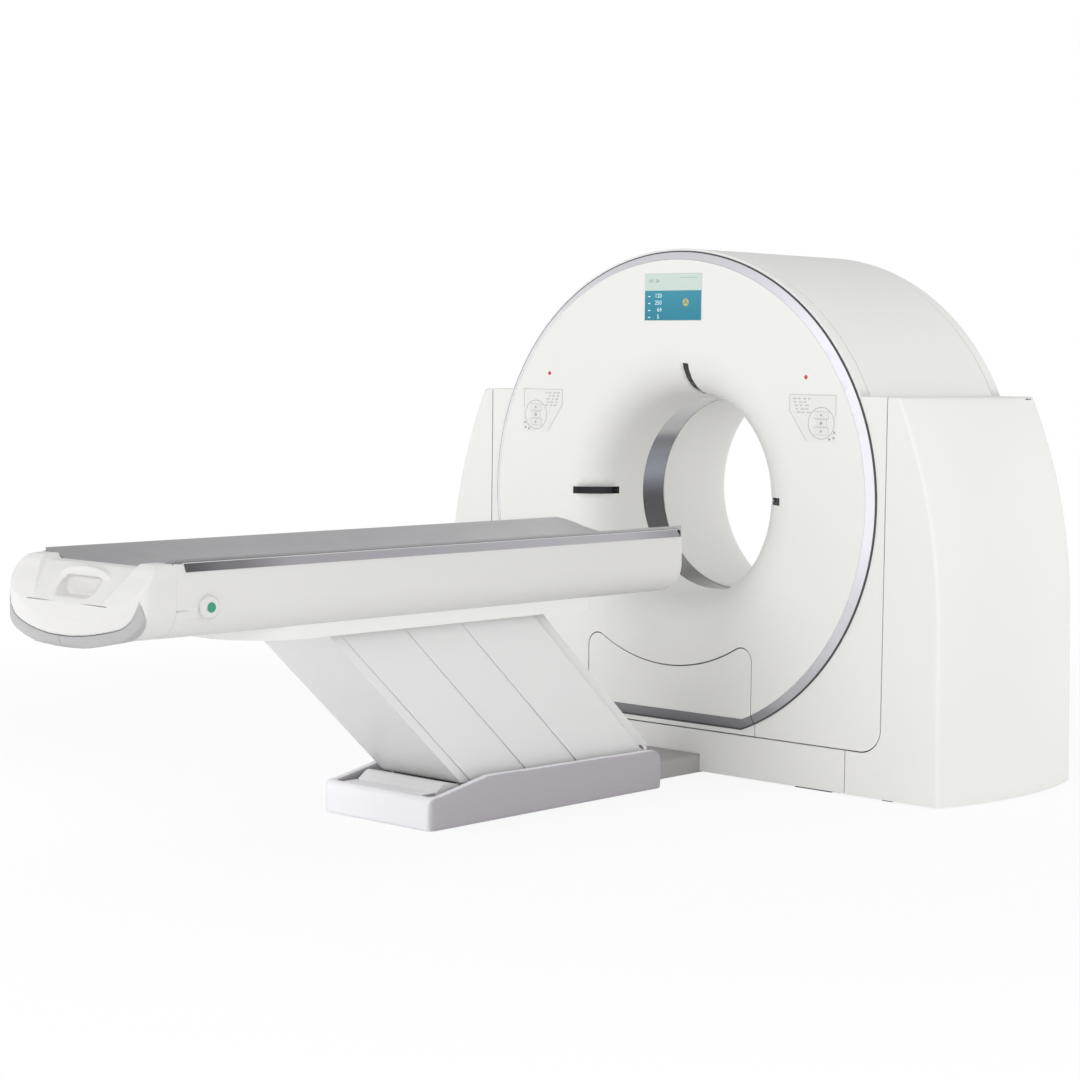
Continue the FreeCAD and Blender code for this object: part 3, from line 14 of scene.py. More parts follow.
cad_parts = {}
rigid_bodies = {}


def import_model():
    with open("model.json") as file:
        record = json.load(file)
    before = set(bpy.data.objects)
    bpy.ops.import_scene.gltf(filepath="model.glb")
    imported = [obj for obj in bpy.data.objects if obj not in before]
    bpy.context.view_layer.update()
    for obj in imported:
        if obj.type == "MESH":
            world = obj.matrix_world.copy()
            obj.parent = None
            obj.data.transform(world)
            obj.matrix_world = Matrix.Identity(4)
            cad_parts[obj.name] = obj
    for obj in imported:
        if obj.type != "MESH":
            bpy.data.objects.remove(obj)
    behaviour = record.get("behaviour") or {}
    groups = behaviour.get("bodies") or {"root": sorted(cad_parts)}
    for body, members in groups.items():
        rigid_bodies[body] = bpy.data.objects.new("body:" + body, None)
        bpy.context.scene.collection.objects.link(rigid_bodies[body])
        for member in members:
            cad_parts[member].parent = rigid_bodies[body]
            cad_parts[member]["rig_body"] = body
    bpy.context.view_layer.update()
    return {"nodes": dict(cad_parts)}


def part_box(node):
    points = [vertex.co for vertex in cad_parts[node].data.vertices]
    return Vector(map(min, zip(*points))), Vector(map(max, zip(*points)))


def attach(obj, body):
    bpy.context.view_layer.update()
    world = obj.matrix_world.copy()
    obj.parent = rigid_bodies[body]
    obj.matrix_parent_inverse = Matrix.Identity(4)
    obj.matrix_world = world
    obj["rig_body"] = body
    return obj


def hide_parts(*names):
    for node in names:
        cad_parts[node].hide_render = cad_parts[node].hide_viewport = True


bl_info = {
    "name": "CT Scanner Finishes",
    "version": (1, 0, 0),
    "blender": (4, 5, 0),
    "location": "View3D > Sidebar > CT Scanner",
    "description": "Finishes, fine parts and a studio for a CT scanner with its patient table",
    "category": "Object",
}

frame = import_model()
NODES = frame["nodes"]

# ---- places and sizes that several pieces share, in metres ----
ISO_Z = 0.971
TRIM_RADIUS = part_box("front_trim_ring")[1].x
FOOT_REAR_Y = -2.785
PRINT = 0.0003


# ---- properties a user would change ----
def colour(name, description, default):
    return bpy.props.FloatVectorProperty(name=name, description=description, default=default, subtype="COLOR",
                                         size=3, min=0, max=1)


def number(name, description, default, **limits):
    return bpy.props.FloatProperty(name=name, description=description, default=default, **limits)


class CoverProperties(bpy.types.PropertyGroup):
    white: colour("Cover white", "Colour of the gantry covers", (0.82, 0.815, 0.79))
    shell_white: colour("Table white", "Colour of the table's shell", (0.70, 0.693, 0.678))
    gloss: number("Roughness", "Roughness of the moulded covers", 0.50, subtype="FACTOR", min=0, max=1)
    edge: number("Edge radius", "Rounding of the covers' outer edges", 0.010, unit="LENGTH")


class TrimProperties(bpy.types.PropertyGroup):
    silver: colour("Silver", "Colour of the sloped trim", (0.50, 0.49, 0.52))
    window_grey: colour("Bore window", "Colour of the ring inside the bore", (0.30, 0.31, 0.36))


class TableProperties(bpy.types.PropertyGroup):
    # The tray's two colours are shaded and lit copies of one grey: painted shade on its sides, painted light
    # on its ends and top.
    tray_grey: colour("Tray grey", "Colour of the base tray", (0.42, 0.40, 0.43))
    tray_lit_face: colour("Tray lit ends", "Colour of the base tray's ends and top", (0.86, 0.85, 0.88))
    cradle_grey: colour("Cradle grey", "Colour of the sliding cradle", (0.36, 0.355, 0.365))
    bumper_grey: colour("Bumper grey", "Colour of the foot bumper", (0.44, 0.435, 0.44))
    button_green: colour("Button green", "Colour of the round button", (0.04, 0.30, 0.17))


class StudioProperties(bpy.types.PropertyGroup):
    lens: number("Lens", "Focal length in millimetres on a 36 mm sensor", 79.75, min=10, max=300)
    key: number("Key light", "Power of the key light", 160.0, unit="POWER")
    fill: number("Fill light", "Power of the fill light", 70.0, unit="POWER")
    low: number("Low light", "Power of the light from the camera's side", 115.0, unit="POWER")
    under: number("Under light", "Power of the light below the table", 13.0, unit="POWER", min=0)
    back: number("Back light", "Power of the light into the bore from behind", 45.0, unit="POWER", min=0)
    sky: number("Sky", "Strength of the white surroundings", 0.68, min=0)


# ---- selection and mesh helpers ----
def deselect_all():
    for obj in bpy.context.view_layer.objects:
        obj.select_set(False)
    bpy.context.view_layer.objects.active = None


def take(obj):
    """Makes obj the only selected object and the active one."""
    deselect_all()
    obj.select_set(True)
    bpy.context.view_layer.objects.active = obj
    return obj


def apply_modifier(obj, kind, name, **settings):
    take(obj)
    modifier = obj.modifiers.new(name, kind)
    for key, value in settings.items():
        setattr(modifier, key, value)
    bpy.ops.object.modifier_apply(modifier=modifier.name)


def edit_all(obj, *actions):
    """Runs mesh operators on the whole mesh in edit mode; each action is an operator and its settings."""
    take(obj)
    bpy.ops.object.mode_set(mode="EDIT")
    for operator, settings in actions:
        bpy.ops.mesh.select_all(action="SELECT")
        operator(**settings)
    bpy.ops.object.mode_set(mode="OBJECT")
    return obj


def copy_of(node, name):
    """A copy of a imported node's mesh, with its loose triangles joined and its flat faces made whole."""
    obj = bpy.data.objects.new(name, NODES[node].data.copy())
    bpy.context.scene.collection.objects.link(obj)
    obj.data.materials.clear()
    join = (bpy.ops.mesh.remove_doubles, {"threshold": 0.00002})
    flatten = (bpy.ops.mesh.dissolve_limited, {"angle_limit": math.radians(0.4), "delimit": {"NORMAL"}})
    return edit_all(obj, join, flatten)


def round_edges(obj, radius, wanted, steps):
    """Rounds the edges between two faces for which wanted(middle, normals of the faces, edge) is true."""
    if radius <= 0:
        return
    take(obj)
    bpy.ops.object.mode_set(mode="EDIT")
    bpy.ops.mesh.select_all(action="DESELECT")
    bpy.ops.mesh.select_mode(type="EDGE")
    mesh = bmesh.from_edit_mesh(obj.data)
    for edge in mesh.edges:
        normals = [face.normal for face in edge.link_faces]
        middle = (edge.verts[0].co + edge.verts[1].co) / 2
        edge.select_set(len(normals) == 2 and bool(wanted(middle, normals, edge)))
    chosen = any(edge.select for edge in mesh.edges)
    bmesh.update_edit_mesh(obj.data)
    if chosen:
        bpy.ops.mesh.bevel(offset=radius, offset_type="OFFSET", segments=steps, profile=0.5, affect="EDGES",
                           clamp_overlap=False)
    bpy.ops.object.mode_set(mode="OBJECT")


def sharp_outward(limit_degrees):
    """Test for outward edges sharper than a limit."""
    limit = math.cos(math.radians(limit_degrees))

    def test(middle, normals, edge):
        return normals[0].dot(normals[1]) < limit and edge.is_convex

    return test


def smooth(obj, degrees):
    take(obj)
    bpy.ops.object.shade_smooth_by_angle(angle=math.radians(degrees))
    apply_modifier(obj, "WEIGHTED_NORMAL", "Even normals", mode="FACE_AREA", weight=50, keep_sharp=True)


def finish_piece(obj, body, material, stands_for=()):
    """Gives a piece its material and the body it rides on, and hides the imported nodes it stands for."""
    obj.data.materials.clear()
    obj.data.materials.append(material)
    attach(obj, body)
    if stands_for:
        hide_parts(*stands_for)
    return obj


def dress(node, material, radius=0.0, wanted=sharp_outward(60.0), degrees=34.0, steps=2, shape=None):
    """A smooth, round-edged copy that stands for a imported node, in its material."""
    obj = copy_of(node, node + "_skin")
    if shape:
        shape(obj)
    round_edges(obj, radius, wanted, steps)
    smooth(obj, degrees)
    return finish_piece(obj, NODES[node]["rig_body"], material, (node,))


# ---- shader nodes ----
def feed(tree, node, inputs):
    """Sets each input to its value, or links it to the socket that feeds it."""
    for socket, value in inputs.items():
        if isinstance(value, bpy.types.NodeSocket):
            tree.links.new(value, node.inputs[socket])
        else:
            node.inputs[socket].default_value = value
    return node


def add_node(tree, kind, inputs=None, **settings):
    node = tree.nodes.new("ShaderNode" + kind)
    for key, value in settings.items():
        setattr(node, key, value)
    return feed(tree, node, inputs or {})


def blend(tree, factor, a, b, **settings):
    """Colour between a and b."""
    inputs = {"Factor": factor, "A": a, "B": b}
    return add_node(tree, "Mix", inputs, data_type="RGBA", **settings).outputs["Result"]


def dimmed(tree, color, level):
    """Colour times a level."""
    return add_node(tree, "VectorMath", {0: color, "Scale": level}, operation="SCALE").outputs["Vector"]


def length_of(tree, vector):
    return add_node(tree, "VectorMath", {0: vector}, operation="LENGTH").outputs["Value"]


def noise(tree, place, scale, **detail):
    return add_node(tree, "TexNoise", {"Vector": place, "Scale": scale, **detail}).outputs["Fac"]


def spread(tree, value, low, high, to_low=0.0, to_high=1.0, **settings):
    """A value's share of the way from low to high, or that share between two other values."""
    return add_node(tree, "MapRange", {"Value": value, "From Min": low, "From Max": high, "To Min": to_low,
                                       "To Max": to_high}, **settings).outputs["Result"]


def reckon(tree, operation, *values, **settings):
    return add_node(tree, "Math", dict(enumerate(values)), operation=operation, **settings).outputs[0]


# ---- node groups that several finishes share ----
def shared_group(name, inputs, build):
    """A node group with (label, default) inputs; build(group, inputs) gives colour, roughness and height."""
    if name in bpy.data.node_groups:
        return bpy.data.node_groups[name]
    group = bpy.data.node_groups.new(name, "ShaderNodeTree")
    kinds = {tuple: "NodeSocketColor", float: "NodeSocketFloat", type(None): "NodeSocketVector"}
    for label, default in inputs:
        socket = group.interface.new_socket(name=label, in_out="INPUT", socket_type=kinds[type(default)])
        if default is not None:
            socket.default_value = default
    for label, kind in (("Color", tuple), ("Roughness", float), ("Height", float)):
        group.interface.new_socket(name=label, in_out="OUTPUT", socket_type=kinds[kind])
    start, end = group.nodes.new("NodeGroupInput"), group.nodes.new("NodeGroupOutput")
    for label, value in zip(("Color", "Roughness", "Height"), build(group, start.outputs)):
        group.links.new(value, end.inputs[label])
    return group


def moulded_group():
    """Slow drift of tone, a fine orange peel and faint handling marks, for moulded and sprayed surfaces."""
    def build(group, given):
        slow = noise(group, given["Vector"], 1.3, Detail=3.0)
        peel = noise(group, given["Vector"], given["Peel Scale"], Detail=2.0)
        marks = noise(group, given["Vector"], 9.0, Detail=6.0, Roughness=0.62)
        drift = reckon(group, "MULTIPLY", spread(group, slow, 0.35, 0.75), given["Drift"])
        wear = spread(group, marks, 0.4, 0.7, -0.04, 0.07)
        rough = reckon(group, "ADD", given["Roughness"], wear, use_clamp=True)
        return blend(group, drift, given["Color"], given["Shade"]), rough, peel

    return shared_group("Moulded surface", (
        ("Vector", None), ("Color", (0.8, 0.8, 0.8, 1)), ("Shade", (0.7, 0.7, 0.7, 1)), ("Drift", 0.3),
        ("Roughness", 0.35), ("Peel Scale", 260.0)), build)


def brushed_group():
    """Fine streaks along one direction, set by the stretch of the incoming vector."""
    def build(group, given):
        streak = noise(group, given["Vector"], 60.0, Detail=5.0, Roughness=0.7)
        depth = reckon(group, "MULTIPLY", reckon(group, "SUBTRACT", streak, 0.5), given["Contrast"])
        level = reckon(group, "ADD", 1.0, depth)
        color = dimmed(group, given["Color"], level)
        return color, reckon(group, "ADD", given["Roughness"], depth), streak

    return shared_group("Brushed streaks", (
        ("Vector", None), ("Color", (0.6, 0.6, 0.6, 1)), ("Contrast", 0.12), ("Roughness", 0.3)), build)


# ---- finishes ----
def start_material(name, stretch=(1, 1, 1)):
    """A new material, its tree and shader, and its place in object coordinates."""
    material = bpy.data.materials.new(name)
    material.use_nodes = True
    tree = material.node_tree
    place = add_node(tree, "TexCoord").outputs["Object"]
    mapping = add_node(tree, "Mapping", {"Vector": place, "Scale": stretch})
    return material, tree, tree.nodes["Principled BSDF"], mapping.outputs["Vector"]


def made_once(build):
    """A material function that gives the material of that name again where there is one."""
    def give(name, *values, **settings):
        return bpy.data.materials.get(name) or build(name, *values, **settings)

    return give


def surfaced(name, group, values, shine, bump, grain, stretch=(1, 1, 1)):
    """A material whose colour, roughness and height come from a shared node group."""
    material, tree, shader, place = start_material(name, stretch)
    surface = add_node(tree, "Group", {"Vector": place, **values}, node_tree=group).outputs
    relief = add_node(tree, "Bump", {"Strength": bump, "Distance": grain, "Height": surface["Height"]})
    feed(tree, shader, {"Base Color": surface["Color"], "Roughness": surface["Roughness"],
                        "Normal": relief.outputs["Normal"], **shine})
    return material


@made_once
def moulded(name, color, roughness=0.35, drift=0.25, darker=0.93, peel=260.0, bump=0.05, coat=0.0):
    """Sprayed or moulded finish."""
    values = {"Color": (*color, 1), "Shade": (*[c * darker for c in color], 1), "Drift": drift,
              "Roughness": roughness, "Peel Scale": peel}
    shine = {"Specular IOR Level": 0.28, "Coat Weight": coat, "Coat Roughness": 0.12}
    return surfaced(name, moulded_group(), values, shine, bump, 0.001)


@made_once
def recoloured(name, roughness, peel, bump, coat, paint):
    """Moulded finish whose colour paint(tree, place) gives."""
    material = moulded(name, (0.5, 0.5, 0.5), roughness, 0.0, 1.0, peel, bump, coat)
    tree = material.node_tree
    surface = next(n for n in tree.nodes if n.type == "GROUP")
    place = next(n for n in tree.nodes if n.type == "MAPPING").outputs["Vector"]
    color = paint(tree, place)
    feed(tree, surface, {"Color": color, "Shade": color})
    return material


def ramped_painted_light(name, axis, stops, roughness, peel, bump, coat, cool=(1.0, 1.0, 1.0), rim=None):
    """Moulded finish with painted light and shade: its grey changes along one axis; stops are (place in
    metres, grey or colour) pairs.

    rim is (centre, radius, flat): beyond that radius round the Y axis, or below the flat, the finish is
    painted near-black, a painted shadow gap.
    """
    def paint(tree, place):
        split = add_node(tree, "SeparateXYZ", {"Vector": place}).outputs
        low, high = stops[0][0], stops[-1][0]
        ramp = add_node(tree, "ValToRGB", {"Fac": spread(tree, split[axis], low, high)})
        ramp.color_ramp.interpolation = "EASE"
        elements = ramp.color_ramp.elements
        while len(elements) < len(stops):
            elements.new(0.5)
        for element, (at, tone) in zip(elements, stops):
            element.position = (at - low) / (high - low)
            element.color = (*(tone if isinstance(tone, tuple) else [tone * c for c in cool]), 1)
        if not rim:
            return ramp.outputs["Color"]
        centre, radius, flat = rim
        flatten = add_node(tree, "VectorMath", {0: place, 1: (1, 0, 1), 2: (0, 0, -centre)},
                           operation="MULTIPLY_ADD")
        length = length_of(tree, flatten.outputs["Vector"])
        in_painted_shadow_gap = reckon(tree, "MAXIMUM", reckon(tree, "GREATER_THAN", length, radius),
                        reckon(tree, "LESS_THAN", split["Z"], flat))
        # Near-black of the painted shadow gap.
        dark = (0.07, 0.07, 0.075, 1)
        return blend(tree, in_painted_shadow_gap, ramp.outputs["Color"], dark)

    return recoloured(name, roughness, peel, bump, coat, paint)


def tray_finish_painted_light(side, face):
    """Tray finish with painted light: its long sides are painted a darker grey as painted shade, and its ends
    and top a pale grey as painted light.
    """
    def paint(tree, place):
        # Which way a face looks picks its colour: sideways faces get the painted shade, the ends and the top
        # the painted light.
        normal = next(n for n in tree.nodes if n.type == "TEX_COORD").outputs["Normal"]
        sideways = add_node(tree, "SeparateXYZ", {"Vector": normal}).outputs["X"]
        share = spread(tree, reckon(tree, "ABSOLUTE", sideways), 0.25, 0.95, interpolation_type="SMOOTHSTEP")
        return blend(tree, share, (*face, 1), (*side, 1))

    return recoloured("Tray grey", 0.34, 220.0, 0.05, 0.15, paint)


@made_once
def brushed(name, color, roughness, stretch, contrast):
    """Turned, ground or brushed metal."""
    values = {"Color": (*color, 1), "Contrast": contrast, "Roughness": roughness}
    return surfaced(name, brushed_group(), values, {"Metallic": 1.0}, 0.05, 0.0005, stretch)


def light_up(tree, shader, tint, strength, roughness):
    feed(tree, shader, {"Base Color": tint, "Emission Color": tint, "Emission Strength": strength,
                        "Roughness": roughness})


@made_once
def glowing(name, color, strength, roughness):
    """Lit print or lens: its own colour with a little light of its own."""
    material, tree, shader, place = start_material(name)
    level = spread(tree, noise(tree, place, 900.0), 0.0, 1.0, 0.9, 1.05)
    light_up(tree, shader, dimmed(tree, color, level), strength, roughness)
    return material


# ---- small shapes made from primitives ----
def prism(name, front, back):
    """A closed solid between two outlines that have as many points."""
    deselect_all()
    count = len(front)
    bpy.ops.mesh.primitive_circle_add(vertices=count, radius=1.0, fill_type="NGON", location=(0, 0, 0))
    obj = bpy.context.object
    obj.name = name
    edit_all(obj, (bpy.ops.mesh.extrude_region_move, {"TRANSFORM_OT_translate": {"value": (0, 0, 1)}}))
    first = obj.data.vertices[0].co
    start = math.atan2(first.y, first.x)
    for vertex in obj.data.vertices:
        turn = math.atan2(vertex.co.y, vertex.co.x) - start
        k = round(turn / (2 * math.pi) * count) % count
        vertex.co = (back if vertex.co.z > 0.5 else front)[k]
    return tidy_normals(obj)


def tidy_normals(obj):
    return edit_all(obj, (bpy.ops.mesh.normals_make_consistent, {"inside": False}))


def carve(obj, tool, operation="DIFFERENCE"):
    """Cuts obj with tool, joins them, or keeps what they share; the tool is used up."""
    apply_modifier(obj, "BOOLEAN", "Carve", operation=operation, object=tool, solver="EXACT")
    bpy.data.objects.remove(tool)
    return obj


def soften(obj, grain, passes):
    """Makes a solid's mesh even and rounds all its edges a little, as in a moulding."""
    apply_modifier(obj, "REMESH", "Even mesh", mode="VOXEL", voxel_size=grain)
    apply_modifier(obj, "SMOOTH", "Soft edges", factor=0.5, iterations=passes)
    return obj


def slice_off(obj, y, towards):
    """Cuts obj at a plane across Y, removes what lies on that side (-1 or 1) and closes the cut."""
    cut = {"plane_co": (0, y, 0), "plane_no": (0, towards, 0), "use_fill": True, "clear_outer": True}
    return edit_all(obj, (bpy.ops.mesh.bisect, cut))


def arc(cx, cy, radius, start, end, steps):
    """Points on an arc, angles in degrees."""
    turns = [math.radians(start + (end - start) * k / steps) for k in range(steps + 1)]
    return [(cx + radius * math.cos(turn), cy + radius * math.sin(turn)) for turn in turns]


def along_y(points, y):
    return [Vector((x, y, z)) for x, z in points]


def along_x(points, x):
    return [Vector((x, y, z)) for y, z in points]


def along_z(points, z):
    return [Vector((x, y, z)) for x, y in points]


def extruded(name, along, outline, start, end):
    """A solid with the same outline all along one axis."""
    return prism(name, along(outline, start), along(outline, end))


def settle(name, **transform):
    """Names the object just made, sets its transform and applies that to its mesh."""
    obj = bpy.context.object
    obj.name = name
    for key, value in transform.items():
        setattr(obj, key, value)
    bpy.ops.object.transform_apply(location=True, rotation=True, scale=True)
    return obj


def add(name, primitive, transform=None, **settings):
    """A new primitive with this name, its transform applied to its mesh."""
    deselect_all()
    primitive(**settings)
    return settle(name, **(transform or {}))


def bar(name, low, high, bevel=0.0):
    """A straight-sided piece between two corners, with its edges rounded."""
    middle, size = [(a + b) / 2 for a, b in zip(low, high)], [b - a for a, b in zip(low, high)]
    obj = add(name, bpy.ops.mesh.primitive_cube_add, {"scale": size}, size=1.0, location=middle)
    if bevel > 0:
        apply_modifier(obj, "BEVEL", "Round", width=bevel, segments=2, limit_method="ANGLE")
    return obj


def plate(name, sides, x, z, radius, y, proud):
    """A flat round or many-sided piece whose front stands at y - proud and whose back lies at y."""
    return add(name, bpy.ops.mesh.primitive_cylinder_add, vertices=sides, radius=radius, depth=proud,
               location=(x, y - proud / 2, z), rotation=(math.pi / 2, 0, 0))


def disc_on_face(name, x, z, radius, y, proud, rounding=0.0, sides=48):
    """A smooth round plate, its front edge rounded."""
    obj = plate(name, sides, x, z, radius, y, proud)
    round_edges(obj, rounding, lambda middle, normals, edge: middle.y < y - proud + 1e-5, 3)
    smooth(obj, 40)
    return obj


def ring_on_face(name, x, z, radius, width, y, proud):
    """A thin flat ring standing on a face: a tube pressed flat along Y."""
    add(name, bpy.ops.mesh.primitive_torus_add, location=(0, 0, 0), rotation=(math.pi / 2, 0, 0),
        major_segments=72, minor_segments=8, major_radius=radius, minor_radius=width / 2)
    obj = settle(name, scale=(1.0, proud / (width / 2), 1.0), location=(x, y, z))
    smooth(obj, 50)
    return obj


def joined(name, pieces):
    """Joins several meshes into one object."""
    deselect_all()
    for piece in pieces:
        piece.select_set(True)
    bpy.context.view_layer.objects.active = pieces[0]
    bpy.ops.object.join()
    pieces[0].name = name
    return pieces[0]


def printed_text(name, words, x, z, height, y):
    """Plain figures as a thin mesh on the face at y, read from the table's side."""
    thickness = 0.00025
    deselect_all()
    bpy.ops.object.text_add(location=(0, 0, 0))
    text = bpy.context.object.data
    text.body = words
    text.size = height
    text.extrude = thickness / 2
    text.resolution_u = 3
    bpy.ops.object.convert(target="MESH")
    return settle(name, rotation_euler=(math.pi / 2, 0, 0), location=(x, y, z))


def wedge_mark(name, x, z, size, y, up):
    """A small three-sided mark that points up or down."""
    obj = plate(name, 3, x, z, size, y, 0.0004)
    heights = [vertex.co.z - z for vertex in obj.data.vertices]
    if (max(heights) < -min(heights)) == up:
        turn = {"value": math.pi, "orient_axis": "Y", "center_override": (x, y, z)}
        edit_all(obj, (bpy.ops.transform.rotate, turn))
    return obj


def stroke(name, start, end, width, y, proud):
    """A thin straight line between two (x, z) points, standing on the face at y."""
    start, end = Vector(start), Vector(end)
    across = (end - start).orthogonal().normalized() * width / 2
    corners = (start - across, end - across, end + across, start + across)
    return extruded(name, along_y, corners, y - proud, y)


# ---- finishes of this scanner ----
def cover_white():
    covers = bpy.context.scene.ct_covers
    return moulded("Cover white", covers.white, covers.gloss, drift=0.35, darker=0.955, peel=240.0, bump=0.03,
                   coat=0.03)


def table_white():
    covers = bpy.context.scene.ct_covers
    return moulded("Table white", covers.shell_white, covers.gloss + 0.02, drift=0.4, darker=0.96, bump=0.03,
                   coat=0.03)


def lift_white():
    return moulded("Lift plank white", (0.76, 0.755, 0.75), 0.36, drift=0.4, darker=0.96, bump=0.04, coat=0.1)


def frame_paint(name):
    return moulded(name, (0.34, 0.35, 0.36), 0.42, drift=0.5, darker=0.85, peel=320.0, bump=0.08)


def steel_grey():
    dark = (0.16, 0.17, 0.19)
    return moulded("Frame steel paint", dark, 0.5, drift=0.6, darker=0.75, peel=400.0, bump=0.12)


def bare_steel():
    return brushed("Ground steel", (0.55, 0.55, 0.56), 0.28, (1, 14, 1), 0.2)


def bare_alloy():
    return brushed("Machined alloy", (0.62, 0.63, 0.64), 0.34, (1, 1, 12), 0.18)


# ---- operators, one for each piece or group of like pieces ----
class CTSCAN_OT_covers(bpy.types.Operator):
    """Dress the gantry's white covers"""
    bl_idname = "ctscan.covers"
    bl_label = "Gantry Covers"

    def execute(self, context):
        covers = context.scene.ct_covers
        white = cover_white()
        side_x, front_y, rear_y = 0.90, -0.299, 0.5
        foot_z, top_z = 0.03, 1.333

        def outer_tower_edge(middle, normals, edge):
            outside = abs(middle.x) > side_x and middle.z > foot_z
            front = middle.y < front_y or (middle.z > top_z and middle.y < rear_y)
            return outside and front and normals[0].dot(normals[1]) < 0.8 and edge.is_convex

        for node in ("right_tower_cover", "left_tower_cover"):
            dress(node, white, covers.edge, outer_tower_edge, steps=4)
        for node in ("front_frame_cover", "dome_cover", "rear_cover"):
            dress(node, white, 0.0015)
        dress("front_disc_cover", white)
        dress("front_access_cover", white, 0.0012)
        dress("plinth_covers", white, 0.003, steps=3)
        return {"FINISHED"}


class CTSCAN_OT_trim(bpy.types.Operator):
    """Dress the sloped silver trim and the grey ring inside the bore, both with painted reflection and painted
    shade
    """
    bl_idname = "ctscan.trim"
    bl_label = "Trim And Bore Ring"

    def execute(self, context):
        trim = context.scene.ct_trim
        # The trim's grey is painted dark at its bottom and pale towards its top: painted shade and painted
        # reflection.
        tone, painted_shade_level, pale = trim.silver[0], 0.36, 1.68
        stops = [(0.17, tone * painted_shade_level), (0.22, tone * painted_shade_level * 1.5), (0.32, tone * 0.95), (0.55, tone * 1.25),
                 (0.90, tone * pale), (1.50, tone * pale), (1.83, tone * 1.2)]
        # Outside the trim's outer edge and below its flat bottom the grey is painted near-black: a painted
        # shadow gap.
        rim = (ISO_Z, TRIM_RADIUS - 0.005, 0.178)
        silver = ramped_painted_light("Trim silver", "Z", stops, 0.42, 500.0, 0.004, 0.0, (0.99, 0.975, 1.03), rim)
        dress("front_trim_ring", silver, degrees=30.0)
        # The bore ring is painted pale at its top and dark towards its bottom: painted reflection and painted
        # shade.
        upper, lower = (tuple(c * share for c in trim.window_grey) for share in (0.92, 1.05))
        stops = [(0.618, (0.22, 0.215, 0.20)), (0.66, (0.12, 0.118, 0.11)), (0.72, (0.26, 0.255, 0.24)),
                 (0.80, (0.10, 0.10, 0.10)), (0.93, (0.075, 0.076, 0.082)), (1.05, lower), (1.10, upper),
                 (1.155, (0.20, 0.205, 0.23)), (1.20, (0.55, 0.545, 0.56)), (1.324, (0.80, 0.79, 0.79))]
        dress("bore_window", ramped_painted_light("Bore ring grey", "Z", stops, 0.22, 300.0, 0.01, 0.4), degrees=30.0)
        return {"FINISHED"}


class CTSCAN_OT_display(bpy.types.Operator):
    """Dress the display and draw its plain page: bands, figures and a round mark"""
    bl_idname = "ctscan.display"
    bl_label = "Display"

    def execute(self, context):
        low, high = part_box("display_screen")
        glass = moulded("Display frame", (0.55, 0.60, 0.58), 0.2, drift=0.1, peel=600.0, bump=0.01, coat=0.5)
        dress("display_screen", glass, degrees=30.0)
        inset = 0.0015
        x0, x1 = low.x + inset, high.x - inset
        z0, z1 = low.z + inset, high.z - inset
        y = low.y
        face = y - PRINT
        split = z0 + (z1 - z0) * 0.64
        width, height = x1 - x0, split - z0
        body = "gantry"
        head = bar("display_head_band", (x0, face, split), (x1, y, z1))
        finish_piece(head, body, glowing("Display pale band", (0.56, 0.66, 0.60), 0.10, 0.2))
        page = bar("display_page", (x0, face, z0), (x1, y, split))
        finish_piece(page, body, self.page_material(z0, split))
        pale = glowing("Display pale figures", (0.62, 0.80, 0.82), 0.25, 0.3)
        dark = glowing("Display dark figures", (0.16, 0.24, 0.24), 0.0, 0.3)
        text_y, front = face - 0.0001, face - PRINT
        rows = []
        for k, words in enumerate(("120", "250", "64", "5")):
            z = split - height * (0.24 + 0.235 * k)
            x = x0 + width * (0.18 + 0.04 * (k > 1))
            rows.append(printed_text("display_row_%d" % k, words, x, z, 0.021, text_y))
            rows.append(bar("display_tick_%d" % k, (x0 + width * 0.06, front, z + 0.003),
                            (x0 + width * 0.10, face, z + 0.006)))
        finish_piece(joined("display_figures", rows), body, pale)
        clock = printed_text("display_clock", "10 : 24", x0 + width * 0.07, z1 - 0.030, 0.017, text_y)
        rule = bar("display_rule", (x0 + width * 0.62, front, z1 - 0.0145),
                   (x0 + width * 0.93, face, z1 - 0.0135))
        finish_piece(joined("display_head_figures", [clock, rule]), body, dark)
        cx, cz = x0 + width * 0.73, split - height * 0.40
        badge = disc_on_face("display_round_mark", cx, cz, 0.0135, face, PRINT)
        finish_piece(badge, body, glowing("Display mark amber", (0.48, 0.46, 0.16), 0.08, 0.3))
        reach, thick = 0.0085, 0.0002
        spokes = [disc_on_face("display_mark_hub", cx, cz, 0.0042, front, thick)]
        for k in range(3):
            turn = math.radians(90 + 120 * k)
            spokes.append(disc_on_face("display_mark_dot_%d" % k, cx + reach * math.cos(turn),
                                       cz + reach * math.sin(turn), 0.0026, front, thick, sides=24))
        finish_piece(joined("display_mark_dots", spokes), body, dark)
        return {"FINISHED"}

    def page_material(self, z0, z1):
        """Teal page, a little paler at its top."""
        material, tree, shader, place = start_material("Display teal page")
        level = spread(tree, add_node(tree, "SeparateXYZ", {"Vector": place}).outputs["Z"], z0, z1)
        page = blend(tree, level, (0.022, 0.205, 0.285, 1), (0.045, 0.255, 0.350, 1))
        tone = blend(tree, 0.12, page, noise(tree, place, 14.0), blend_type="MULTIPLY")
        light_up(tree, shader, tone, 0.18, 0.22)
        return material


